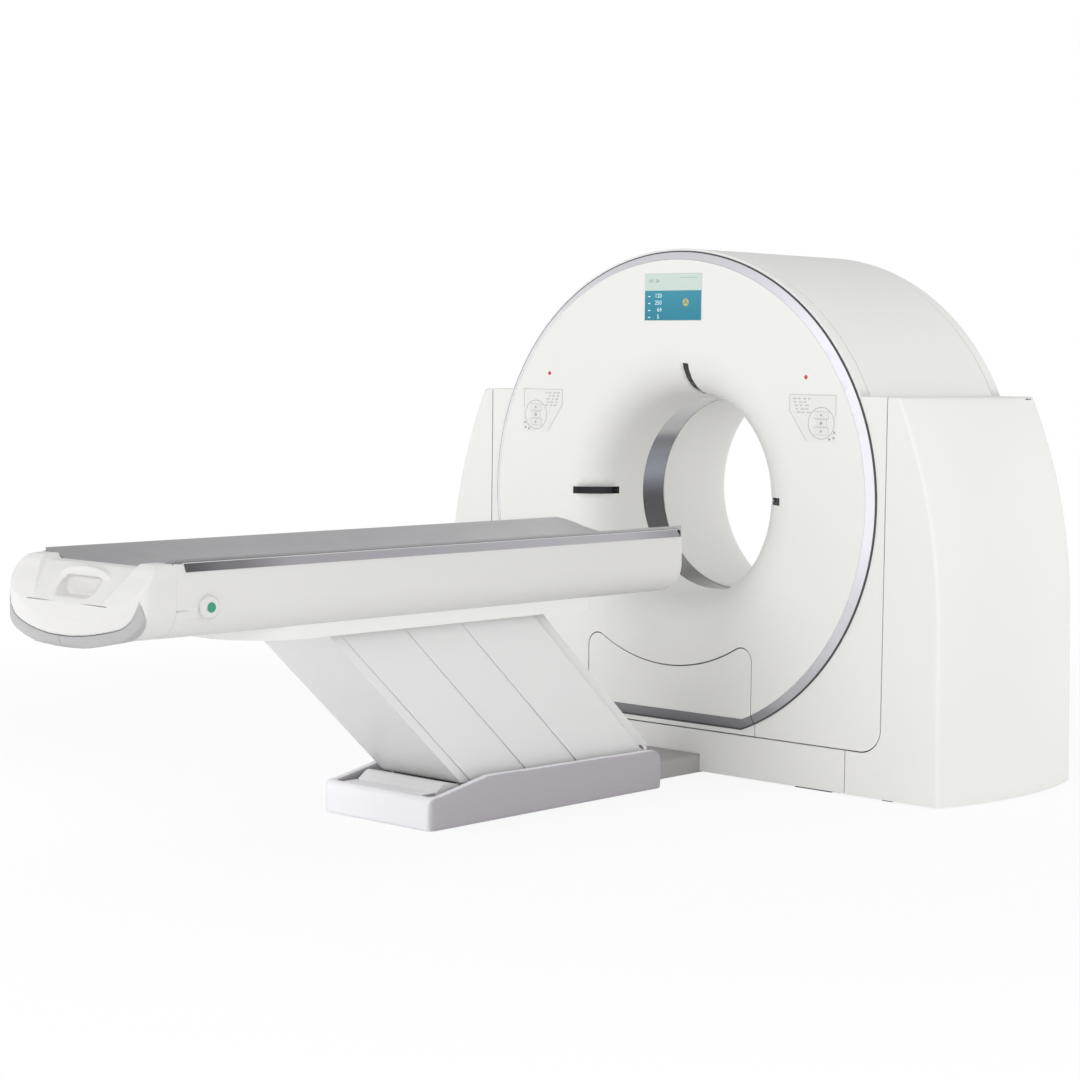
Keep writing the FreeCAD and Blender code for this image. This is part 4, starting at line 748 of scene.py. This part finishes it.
class CTSCAN_OT_panels(bpy.types.Operator):
    """Dress both control panels: printed outline, key pad ring, keys with marks, a legend and small dots"""
    bl_idname = "ctscan.panels"
    bl_label = "Control Panels"

    def execute(self, context):
        film = moulded("Panel film", (0.79, 0.785, 0.77), 0.42, drift=0.2, darker=0.96, peel=700.0, bump=0.02)
        cap = moulded("Key caps", (0.76, 0.755, 0.745), 0.45, drift=0.2, darker=0.95, peel=800.0, bump=0.03)
        flat = {"roughness": 0.5, "drift": 0.3, "peel": 500.0, "bump": 0.0}
        ink = moulded("Panel ink", (0.42, 0.415, 0.41), darker=0.85, **flat)
        pale_ink = moulded("Panel pale ink", (0.58, 0.57, 0.56), darker=0.9, **flat)
        for side, word in ((-1, "left"), (1, "right")):
            dress(word + "_control_panel", film, degrees=30.0)
            low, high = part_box(word + "_control_panel")
            upper, middle, lower = ("%s_%s_key" % (word, name) for name in ("upper", "middle", "lower"))
            for key in (upper, middle, lower):
                dress(key, cap, 0.0012, degrees=40.0, steps=3)
            a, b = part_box(middle)
            cx, cz = (a.x + b.x) / 2, (a.z + b.z) / 2
            ring = ring_on_face(word + "_pad_ring", cx, cz, 0.053, 0.0022, low.y, 0.0005)
            finish_piece(ring, "gantry", ink)
            self.outline(word, side, low, high, ink)
            self.legend(word, side, low, high, pale_ink)
            for key, up in ((upper, True), (lower, False)):
                k0, k1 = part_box(key)
                mark = wedge_mark(key + "_arrow", (k0.x + k1.x) / 2, (k0.z + k1.z) / 2, 0.0062, k0.y, up)
                finish_piece(mark, key, ink)
            half, proud = 0.005, 0.0004
            square = bar(middle + "_mark", (cx - half, a.y - proud, cz - half), (cx + half, a.y, cz + half),
                         0.0008)
            finish_piece(square, middle, ink)
            places = ((0.7000, 1.2130), (0.6975, 1.1950), (0.6800, 1.1905))
            dots = [disc_on_face(word + "_dot_%d" % k, side * x, z, 0.0045, low.y, 0.0008, 0.0004, 24)
                    for k, (x, z) in enumerate(places)]
            finish_piece(joined(word + "_panel_dots", dots), "gantry", ink)
        return {"FINISHED"}

    def outline(self, word, side, low, high, ink):
        """Thin printed line round the panel, its upper and outer part."""
        inset, width, proud = 0.003, 0.0013, 0.0004
        inner, outer = (low.x, high.x) if side > 0 else (high.x, low.x)
        inner, outer = inner + inset * side, outer - inset * side
        top = high.z - inset
        shoulder = top - 0.054
        ends = (("top", (inner, top), (outer, top)), ("out", (outer, top), (outer, top - 0.070)),
                ("in", (inner, top), (inner, shoulder)),
                ("slant", (inner, shoulder), (inner + side * 0.071, low.z + 0.004)))
        lines = [stroke(word + "_line_" + name, start, end, width, low.y, proud) for name, start, end in ends]
        finish_piece(joined(word + "_panel_outline", lines), "gantry", ink)

    def legend(self, word, side, low, high, ink):
        """A group of plain short bars at the panel's inner upper corner."""
        lengths, half = (0.016, 0.011, 0.014, 0.009), 0.0028
        inner = low.x if side > 0 else high.x
        pieces = []
        for row in range(5):
            z = high.z - 0.016 - 0.0115 * row
            for column in range(3 if row else 4):
                start = inner + side * (0.016 + 0.021 * column + 0.004 * row)
                end = start + side * lengths[(row + column) % 4]
                front, back = (min(start, end), low.y - PRINT, z - half), (max(start, end), low.y, z + half)
                pieces.append(bar("%s_legend_%d_%d" % (word, row, column), front, back))
        finish_piece(joined(word + "_panel_legend", pieces), "gantry", ink)


class CTSCAN_OT_lamps(bpy.types.Operator):
    """Round red lenses above the panels, each in a thin collar, and the dark laser windows"""
    bl_idname = "ctscan.lamps"
    bl_label = "Lamps And Laser Windows"

    def execute(self, context):
        low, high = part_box("indicator_lamps")
        radius = (high.z - low.z) / 2
        cx, cz = high.x - radius, (low.z + high.z) / 2
        red = glowing("Lamp red lens", (0.50, 0.045, 0.05), 0.10, 0.15)
        lenses, collars = [], []
        for side in (-1, 1):
            lens = add("lamp_lens", bpy.ops.mesh.primitive_uv_sphere_add, {"scale": (1, 0.35, 1)},
                       segments=32, ring_count=16, radius=radius * 0.92, location=(side * cx, high.y, cz))
            smooth(lens, 60)
            lenses.append(lens)
            collars.append(ring_on_face("lamp_collar", side * cx, cz, radius * 0.98, 0.0022, high.y, 0.0009))
        finish_piece(joined("lamp_lenses", lenses), "gantry", red, ("indicator_lamps",))
        finish_piece(joined("lamp_collars", collars), "gantry", cover_white())
        dark = (0.012, 0.012, 0.014)
        glass = moulded("Laser window dark", dark, 0.08, drift=0.2, peel=300.0, bump=0.0, coat=0.6)
        dress("laser_windows", glass)
        return {"FINISHED"}


class CTSCAN_OT_inner_works(bpy.types.Operator):
    """Finish the structure and the rotating parts inside the gantry"""
    bl_idname = "ctscan.inner_works"
    bl_label = "Inner Works"

    def execute(self, context):
        finishes = {
            "gantry_base_frame": steel_grey(),
            "stator_frame": steel_grey(),
            "main_bearing": bare_steel(),
            "rotor_drum": bare_alloy(),
            "slip_ring": brushed("Slip ring brass", (0.62, 0.42, 0.20), 0.22, (1, 30, 1), 0.1),
            "brush_block": moulded("Brush holder", (0.02, 0.02, 0.022), 0.55, peel=500.0),
            "xray_tube": moulded("Tube housing grey", (0.55, 0.56, 0.57), 0.4, drift=0.4, darker=0.85),
            "collimator": moulded("Collimator iron", (0.12, 0.125, 0.135), 0.55, drift=0.5, darker=0.7,
                                  bump=0.2),
            "detector_array": brushed("Detector alloy", (0.5, 0.51, 0.53), 0.38, (12, 1, 1), 0.1),
            "high_voltage_generator": moulded("Generator case", (0.42, 0.44, 0.47), 0.4, drift=0.4,
                                              darker=0.85),
            "heat_exchanger": brushed("Exchanger alloy", (0.56, 0.57, 0.58), 0.4, (1, 1, 20), 0.2),
            "counterweights": moulded("Counterweight iron", (0.10, 0.10, 0.11), 0.6, drift=0.6, darker=0.7,
                                      bump=0.3),
            "drive_belt": moulded("Belt rubber", (0.018, 0.018, 0.018), 0.65, drift=0.3, peel=900.0,
                                  bump=0.2),
            "motor_pulley": bare_steel(),
            "drive_motor": moulded("Motor paint", (0.06, 0.075, 0.10), 0.45, drift=0.4, darker=0.8, bump=0.1),
            "tower_electronics": moulded("Cabinet paint", (0.30, 0.32, 0.35), 0.45, drift=0.3, darker=0.88),
        }
        for node, material in finishes.items():
            dress(node, material)
        return {"FINISHED"}


class CTSCAN_OT_table_base(bpy.types.Operator):
    """Dress the base tray, the steel base in it, and the floor duct"""
    bl_idname = "ctscan.table_base"
    bl_label = "Table Base"

    def execute(self, context):
        table = context.scene.ct_table
        # The tray's grey carries painted shade on its long sides and painted light on its ends and top.
        grey = tray_finish_painted_light(table.tray_grey, table.tray_lit_face)
        dress("table_base_tray", grey, degrees=50.0, shape=lambda obj: soften(obj, 0.006, 6))
        self.deck(grey)
        dress("cable_duct", moulded("Duct grey", (0.42, 0.41, 0.405), 0.45, drift=0.4, darker=0.9))
        pale_steel = moulded("Base plate white", (0.80, 0.80, 0.80), 0.4, drift=0.3, darker=0.94, peel=300.0)
        dress("table_base_frame", pale_steel, 0.001)
        return {"FINISHED"}

    def deck(self, grey):
        """Ledge inside the tray's front, and the white step between it and the foot of the lift's cover."""
        body = NODES["table_base_tray"]["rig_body"]
        rim, ledge_half, gap = 0.030, 0.1745, 0.001
        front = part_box("table_base_tray")[0].y + rim
        side = [(front, 0.092), (front, 0.1030), (-1.664, 0.1030), (-1.658, 0.0985), (-1.658, 0.092)]
        ledge = extruded("tray_ledge", along_x, side, -ledge_half, ledge_half)
        smooth(ledge, 40)
        finish_piece(ledge, body, grey)
        side = [(-1.661, 0.0885), (-1.661, 0.1000), (-1.656, 0.1065), (-1.628, 0.1265), (-1.620, 0.1295),
                (-1.612, 0.1300), (-1.559, 0.1180), (-1.557, 0.1150), (-1.557, 0.0885)]
        step_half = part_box("front_lift_cover")[1].x - gap
        step = extruded("tray_step", along_x, side, -step_half, step_half)
        round_edges(step, 0.002, sharp_outward(60.0), 2)
        smooth(step, 50)
        finish_piece(step, body, lift_white())


class CTSCAN_OT_lift(bpy.types.Operator):
    """Dress the lift: arms, actuator, and the white planks that cover them"""
    bl_idname = "ctscan.lift"
    bl_label = "Lift"

    def execute(self, context):
        for node in ("front_lift_cover", "lift_slats_front", "lift_slats_middle", "lift_slats_rear",
                     "rear_lift_cover"):
            dress(node, lift_white(), 0.0007)
        for node in ("front_lift_arms", "rear_lift_arms"):
            dress(node, frame_paint("Table steel paint"), 0.0015)
        case = moulded("Actuator case", (0.05, 0.052, 0.058), 0.4, drift=0.3, bump=0.1)
        dress("actuator_housing", case, 0.002)
        dress("actuator_rod", bare_steel())
        return {"FINISHED"}


class CTSCAN_OT_table_top(bpy.types.Operator):
    """Dress the table's shell, its grey strips with painted shade, the fairing, and the frame and rails inside
    """
    bl_idname = "ctscan.table_top"
    bl_label = "Table Top"

    def execute(self, context):
        sharp, side_x, side_z = sharp_outward(50.0), 0.25, 0.86
        gap, reach = 0.0002, 0.006

        def shell_edge(middle, normals, edge):
            return sharp(middle, normals, edge) and abs(middle.x) > side_x and middle.z > side_z

        def make_room(obj):
            slice_off(obj, FOOT_REAR_Y + gap, -1)

        def keep_behind(obj):
            slice_off(obj, FOOT_REAR_Y - reach, -1)

        dress("table_body_shell", table_white(), 0.003, shell_edge, steps=3, shape=make_room)
        low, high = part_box("side_trims")
        # The strip is painted darkest at its foot end, where the scoop's shade falls: painted shade. It is
        # also a little darker towards its gantry end.
        stops = [(low.y, (0.07, 0.068, 0.072)), (low.y + 0.16, (0.16, 0.155, 0.165)),
                 (low.y + 0.42, (0.33, 0.32, 0.345)), (high.y - 0.30, (0.42, 0.41, 0.44)),
                 (high.y, (0.30, 0.29, 0.31))]
        dress("side_trims", ramped_painted_light("Side strip grey", "Y", stops, 0.34, 400.0, 0.02, 0.1))
        dress("fairing", cover_white())
        dress("upper_frame", frame_paint("Upper frame paint"), shape=keep_behind)
        dress("cradle_rails", bare_alloy(), shape=keep_behind)
        return {"FINISHED"}


class CTSCAN_OT_foot_end(bpy.types.Operator):
    """Moulded foot end with its shoulders, handle pocket and split line, and the soft bumper at its edge"""
    bl_idname = "ctscan.foot_end"
    bl_label = "Foot End"

    HALF = 0.307
    FRONT_Y = -2.943
    TOP_Z = 0.882
    LOW_Z = 0.641
    SPLIT_Z = 0.768
    CROWN = 1.116
    SPARE = 0.01

    def bow(self, low, half, sag, corner, steps, corner_steps):
        """Right half of a bowed edge, from its middle at low, with the round corner at its end."""
        turn = math.degrees(math.asin((half - corner) / (sag - corner)))
        lean = math.cos(math.radians(turn))
        side = low + sag * (1 - lean) + corner * lean
        edge = arc(0, low + sag, sag, -90, -90 + turn, steps)
        return edge + arc(half - corner, side, corner, -90 + turn, 0, corner_steps)[1:]

    def both_sides(self, right):
        return right + [(-x, other) for x, other in reversed(right)][:-1]

    def outline(self, inset, low, sag, corner, shoulder):
        """Edge of the foot end seen from the front: sagging lower edge, round corners, shoulders."""
        half, top = self.HALF - inset, self.TOP_Z - inset
        right = self.bow(low, half, sag, corner, 14, 10)
        return self.both_sides(right + arc(half - shoulder, top - shoulder, shoulder, 0, 90, 10))

    def block(self, grow):
        """The foot end's solid: its section changes from the front edge's to the table body's.

        The three outlines it is cut from keep small distances from each other, so that no two faces coincide.
        """
        behind, y0 = FOOT_REAR_Y + 0.02, self.FRONT_Y - grow
        front = self.outline(-grow, self.LOW_Z - grow, 0.83, 0.100, 0.080)
        rear = self.outline(-grow, 0.672 - grow, 40.0, 0.095, 0.016)
        solid = prism("foot_block", along_y(front, y0 - 0.004), along_y(rear, behind))
        half = self.HALF + grow + 0.0004
        plan = self.both_sides(self.bow(y0, half, self.CROWN, 0.050, 12, 8) + [(half, behind + self.SPARE)])
        carve(solid, extruded("foot_plan", along_z, plan, 0.5, 1.0), "INTERSECT")
        low, high = self.LOW_Z - 0.0004 - grow, self.TOP_Z + grow + self.SPARE
        lean = arc(y0 + 0.0298, low + 0.030, 0.030, -90, -180, 6)
        lean += [(y0 - 0.0002, 0.684), (y0 + 0.006, 0.720), (y0 + 0.022, self.SPLIT_Z), (y0 + 0.048, 0.812),
                 (y0 + 0.074, 0.846), (y0 + 0.087, 0.867), (y0 + 0.116, high)]
        side = lean + [(behind + self.SPARE, high), (behind + self.SPARE, low)]
        return carve(solid, extruded("foot_profile", along_x, side, -0.4, 0.4), "INTERSECT")

    def rim_zone(self, grow):
        """Where the bumper lies: outside a smaller edge, near the front and below the shoulders."""
        front, back = self.FRONT_Y - self.SPARE, self.FRONT_Y + 0.066 + grow
        low, high = 0.60, 0.830 + grow
        side = [(front, low), (back, low), (back, 0.715), (back - 0.030, high), (front, high)]
        zone = extruded("foot_zone", along_x, side, -0.33, 0.33)
        core = self.outline(0.018 + grow, 0.677 + grow, 0.866, 0.088, 0.054)
        return carve(zone, extruded("foot_core", along_y, core, front - self.SPARE, back + self.SPARE))

    def pocket(self):
        """Handle pocket with round ends, open to the front."""
        half, radius, z = 0.090, 0.027, 0.807
        edge = arc(half - radius, z, radius, -90, 90, 10) + arc(-half + radius, z, radius, 90, 270, 10)
        return extruded("foot_pocket", along_y, edge, self.FRONT_Y - self.SPARE, self.FRONT_Y + 0.094)

    def scoop(self):
        """Between the shoulders the face leans further back above the split line."""
        front, back, high = self.FRONT_Y - self.SPARE, FOOT_REAR_Y + 0.03, 0.90
        half, flare = 0.150, 4.0
        side = [(self.FRONT_Y + 0.024, self.SPLIT_Z), (self.FRONT_Y + 0.092, 0.842),
                (self.FRONT_Y + 0.118, 0.866), (back, 0.868), (back, high), (front, high),
                (front, self.SPLIT_Z)]
        tool = extruded("foot_scoop", along_x, side, -half, half)
        for vertex in tool.data.vertices:
            vertex.co.x *= 1 + (vertex.co.z - self.SPLIT_Z) * flare
        return tool

    def brow(self):
        """Low arch over the handle."""
        half, low, middle, rise = 0.112, 0.826, 0.834, 0.029
        turns = [math.radians(a) for a in range(0, 181, 12)]
        edge = [(-half, low), (half, low)]
        edge += [(half * math.cos(turn), middle + rise * math.sin(turn)) for turn in turns]
        y = self.FRONT_Y + 0.082
        return extruded("foot_brow", along_y, edge, y, y + 0.030)

    def split(self):
        """Thin line across the face, under the handle."""
        face = [(x / 100, self.FRONT_Y + (x / 100) ** 2 / 2 / self.CROWN + 0.0215) for x in range(-18, 19, 3)]
        plan = face + [(x, y - 0.03) for x, y in reversed(face)]
        return extruded("foot_split", along_z, plan, 0.7650, 0.7672)

    def finish(self, obj, name, node, material, slot):
        tidy_normals(obj)
        obj.name = name
        take(obj)
        bpy.ops.object.shade_smooth_by_angle(angle=math.radians(40))
        finish_piece(obj, NODES[node]["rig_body"], material, (node,))

    def execute(self, context):
        grain = 0.0035
        cap = self.block(0.0)
        carve(cap, self.scoop())
        carve(cap, self.brow(), "UNION")
        carve(cap, self.pocket())
        carve(cap, self.rim_zone(0.0))
        soften(cap, grain, 8)
        carve(cap, self.split())
        slice_off(cap, FOOT_REAR_Y, 1)
        self.finish(cap, "foot_end_shell", "foot_end_cap", table_white(), "table_white")
        grey = context.scene.ct_table.bumper_grey
        rubber = moulded("Bumper grey", grey, 0.5, drift=0.3, darker=0.92, peel=420.0, bump=0.08)
        rim = self.block(0.001)
        carve(rim, self.rim_zone(-0.001), "INTERSECT")
        soften(rim, grain, 3)
        slit = 0.0008
        carve(rim, bar("foot_slit", (-slit, self.FRONT_Y - 0.02, 0.60), (slit, self.FRONT_Y + 0.1, 0.72)))
        self.finish(rim, "foot_bumper_rim", "foot_bumper", rubber, "bumper_grey")
        return {"FINISHED"}


class CTSCAN_OT_button(bpy.types.Operator):
    """Round green button with a crowned face"""
    bl_idname = "ctscan.button"
    bl_label = "Green Button"

    def execute(self, context):
        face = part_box("green_button")[1].x - 1e-4
        green = moulded("Button green", context.scene.ct_table.button_green, 0.22, drift=0.2, darker=0.85,
                        peel=500.0, bump=0.02, coat=0.4)

        def face_edge(middle, normals, edge):
            return middle.x > face and normals[0].dot(normals[1]) < 0.5

        dress("green_button", green, 0.0018, face_edge, 40.0, 4)
        return {"FINISHED"}


class CTSCAN_OT_cradle(bpy.types.Operator):
    """Dress the grey sliding cradle, its grey painted darker towards the foot end and paler towards the
    gantry: painted shade and painted light
    """
    bl_idname = "ctscan.cradle"
    bl_label = "Cradle"

    def execute(self, context):
        low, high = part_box("cradle")
        tone = context.scene.ct_table.cradle_grey[0]
        # Painted shade at the foot end and painted light towards the gantry, along the cradle's length.
        stops = [(low.y, tone * 0.78), (low.y + 0.7, tone), (high.y, tone * 1.22)]
        grey = ramped_painted_light("Cradle grey", "Y", stops, 0.40, 500.0, 0.05, 0.15, (1.0, 0.985, 1.01))
        dress("cradle", grey, 0.0015, sharp_outward(40.0), steps=3)
        return {"FINISHED"}


class CTSCAN_OT_studio(bpy.types.Operator):
    """Pale floor, soft lamps, white surroundings and the camera"""
    bl_idname = "ctscan.studio"
    bl_label = "Studio"

    def execute(self, context):
        studio = context.scene.ct_studio
        self.floor()
        self.surroundings(studio.sky)
        self.lamp("Key light", (-0.8, -8.0, 4.4), (0.0, -0.8, 0.8), 4.5, studio.key)
        self.lamp("Fill light", (7.0, 0.5, 3.4), (0.8, -0.4, 0.8), 4.0, studio.fill)
        self.lamp("Low light", (5.4, -5.6, 0.9), (0.0, -0.5, 0.45), 3.6, studio.low, False)
        self.lamp("Under light", (-1.7, -3.3, 0.4), (0.1, -0.3, 0.45), 1.2, studio.under, False)
        self.lamp("Back light", (2.3, 4.2, 1.5), (-0.2, 0.2, 0.95), 1.6, studio.back, False)
        self.camera(studio.lens)
        return {"FINISHED"}

    def seen(self, tree):
        """1 where the camera looks straight at it or through clear pieces, 0 elsewhere."""
        path = add_node(tree, "LightPath").outputs
        return reckon(tree, "MAXIMUM", path["Is Camera Ray"], path["Is Transmission Ray"])

    def floor(self):
        floor = add("studio_floor", bpy.ops.mesh.primitive_plane_add, size=60.0, location=(0, 0, 0))
        material, tree, shader, place = start_material("Studio floor")
        feed(tree, shader, {"Base Color": (0.88, 0.88, 0.88, 1), "Roughness": 0.9})
        near, far, near_white = 2.2, 5.0, 0.86
        distance = length_of(tree, place)
        fade = spread(tree, distance, near, far, near_white, 1.0, interpolation_type="SMOOTHSTEP")
        share = reckon(tree, "MULTIPLY", self.seen(tree), fade)
        white = add_node(tree, "Emission", {"Color": (1, 1, 1, 1), "Strength": 1.0}).outputs["Emission"]
        mix = add_node(tree, "MixShader", {"Fac": share, 1: shader.outputs["BSDF"], 2: white})
        feed(tree, tree.nodes["Material Output"], {"Surface": mix.outputs["Shader"]})
        floor.data.materials.append(material)

    def surroundings(self, strength):
        world = bpy.data.worlds.new("Studio surroundings")
        bpy.context.scene.world = world
        world.use_nodes = True
        tree = world.node_tree
        lit = tree.nodes["Background"]
        feed(tree, lit, {"Color": (0.985, 0.99, 1.0, 1), "Strength": strength})
        white = add_node(tree, "Background", {"Color": (1, 1, 1, 1), "Strength": 1.0}).outputs["Background"]
        mix = add_node(tree, "MixShader", {"Fac": self.seen(tree), 1: lit.outputs["Background"], 2: white})
        feed(tree, tree.nodes["World Output"], {"Surface": mix.outputs["Shader"]})

    def lamp(self, name, place, target, size, power, shines=True):
        """A round soft lamp that faces the target; where shines is false, glossy faces don't mirror it."""
        light = bpy.data.lights.new(name, "AREA")
        light.shape = "DISK"
        light.size = size
        light.energy = power
        obj = bpy.data.objects.new(name, light)
        bpy.context.scene.collection.objects.link(obj)
        obj.location = place
        obj.rotation_euler = (Vector(target) - Vector(place)).to_track_quat("-Z", "Y").to_euler()
        obj.visible_glossy = shines

    def camera(self, lens):
        """Camera at the photograph's place and angle."""
        place = (5.3473, -6.8545, 1.4356)
        azimuth, pitch, roll = math.radians(42.42), math.radians(4.25), math.radians(0.66)
        forward = Vector((-math.sin(azimuth) * math.cos(pitch), math.cos(azimuth) * math.cos(pitch),
                          -math.sin(pitch)))
        right = Vector((math.cos(azimuth), math.sin(azimuth), 0))
        up = right.cross(forward)
        turned_right = right * math.cos(roll) + up * math.sin(roll)
        turned_up = up * math.cos(roll) - right * math.sin(roll)
        axes = Matrix((turned_right, turned_up, -forward)).transposed()
        data = bpy.data.cameras.new("Camera")
        data.lens = lens
        data.sensor_width = 36.0
        data.clip_end = 100.0
        obj = bpy.data.objects.new("Camera", data)
        bpy.context.scene.collection.objects.link(obj)
        obj.matrix_world = Matrix.Translation(place) @ axes.to_4x4()
        bpy.context.scene.camera = obj
        bpy.context.scene.view_settings.view_transform = "Standard"


OPERATORS = (
    CTSCAN_OT_studio, CTSCAN_OT_covers, CTSCAN_OT_trim, CTSCAN_OT_display, CTSCAN_OT_panels, CTSCAN_OT_lamps,
    CTSCAN_OT_inner_works, CTSCAN_OT_table_base, CTSCAN_OT_lift, CTSCAN_OT_table_top, CTSCAN_OT_foot_end,
    CTSCAN_OT_button, CTSCAN_OT_cradle,
)


class CTSCAN_PT_sidebar(bpy.types.Panel):
    """Lists the pieces of the scanner and their settings"""
    bl_idname = "CTSCAN_PT_sidebar"
    bl_label = "CT Scanner"
    bl_space_type = "VIEW_3D"
    bl_region_type = "UI"
    bl_category = "CT Scanner"

    def draw(self, context):
        scene = context.scene
        for group in (scene.ct_covers, scene.ct_trim, scene.ct_table, scene.ct_studio):
            box = self.layout.box()
            for name in group.bl_rna.properties.keys():
                if name not in ("rna_type", "name"):
                    box.prop(group, name)
        for operator in OPERATORS:
            self.layout.operator(operator.bl_idname)


GROUPS = {"ct_covers": CoverProperties, "ct_trim": TrimProperties, "ct_table": TableProperties,
          "ct_studio": StudioProperties}
CLASSES = tuple(GROUPS.values()) + OPERATORS + (CTSCAN_PT_sidebar,)


def register():
    for cls in CLASSES:
        bpy.utils.register_class(cls)
    for name, cls in GROUPS.items():
        setattr(bpy.types.Scene, name, bpy.props.PointerProperty(type=cls))


def unregister():
    for name in GROUPS:
        delattr(bpy.types.Scene, name)
    for cls in reversed(CLASSES):
        bpy.utils.unregister_class(cls)


def main():
    register()
    for operator in OPERATORS:
        group, name = operator.bl_idname.split(".")
        getattr(getattr(bpy.ops, group), name)()


if __name__ == "__main__":
    main()
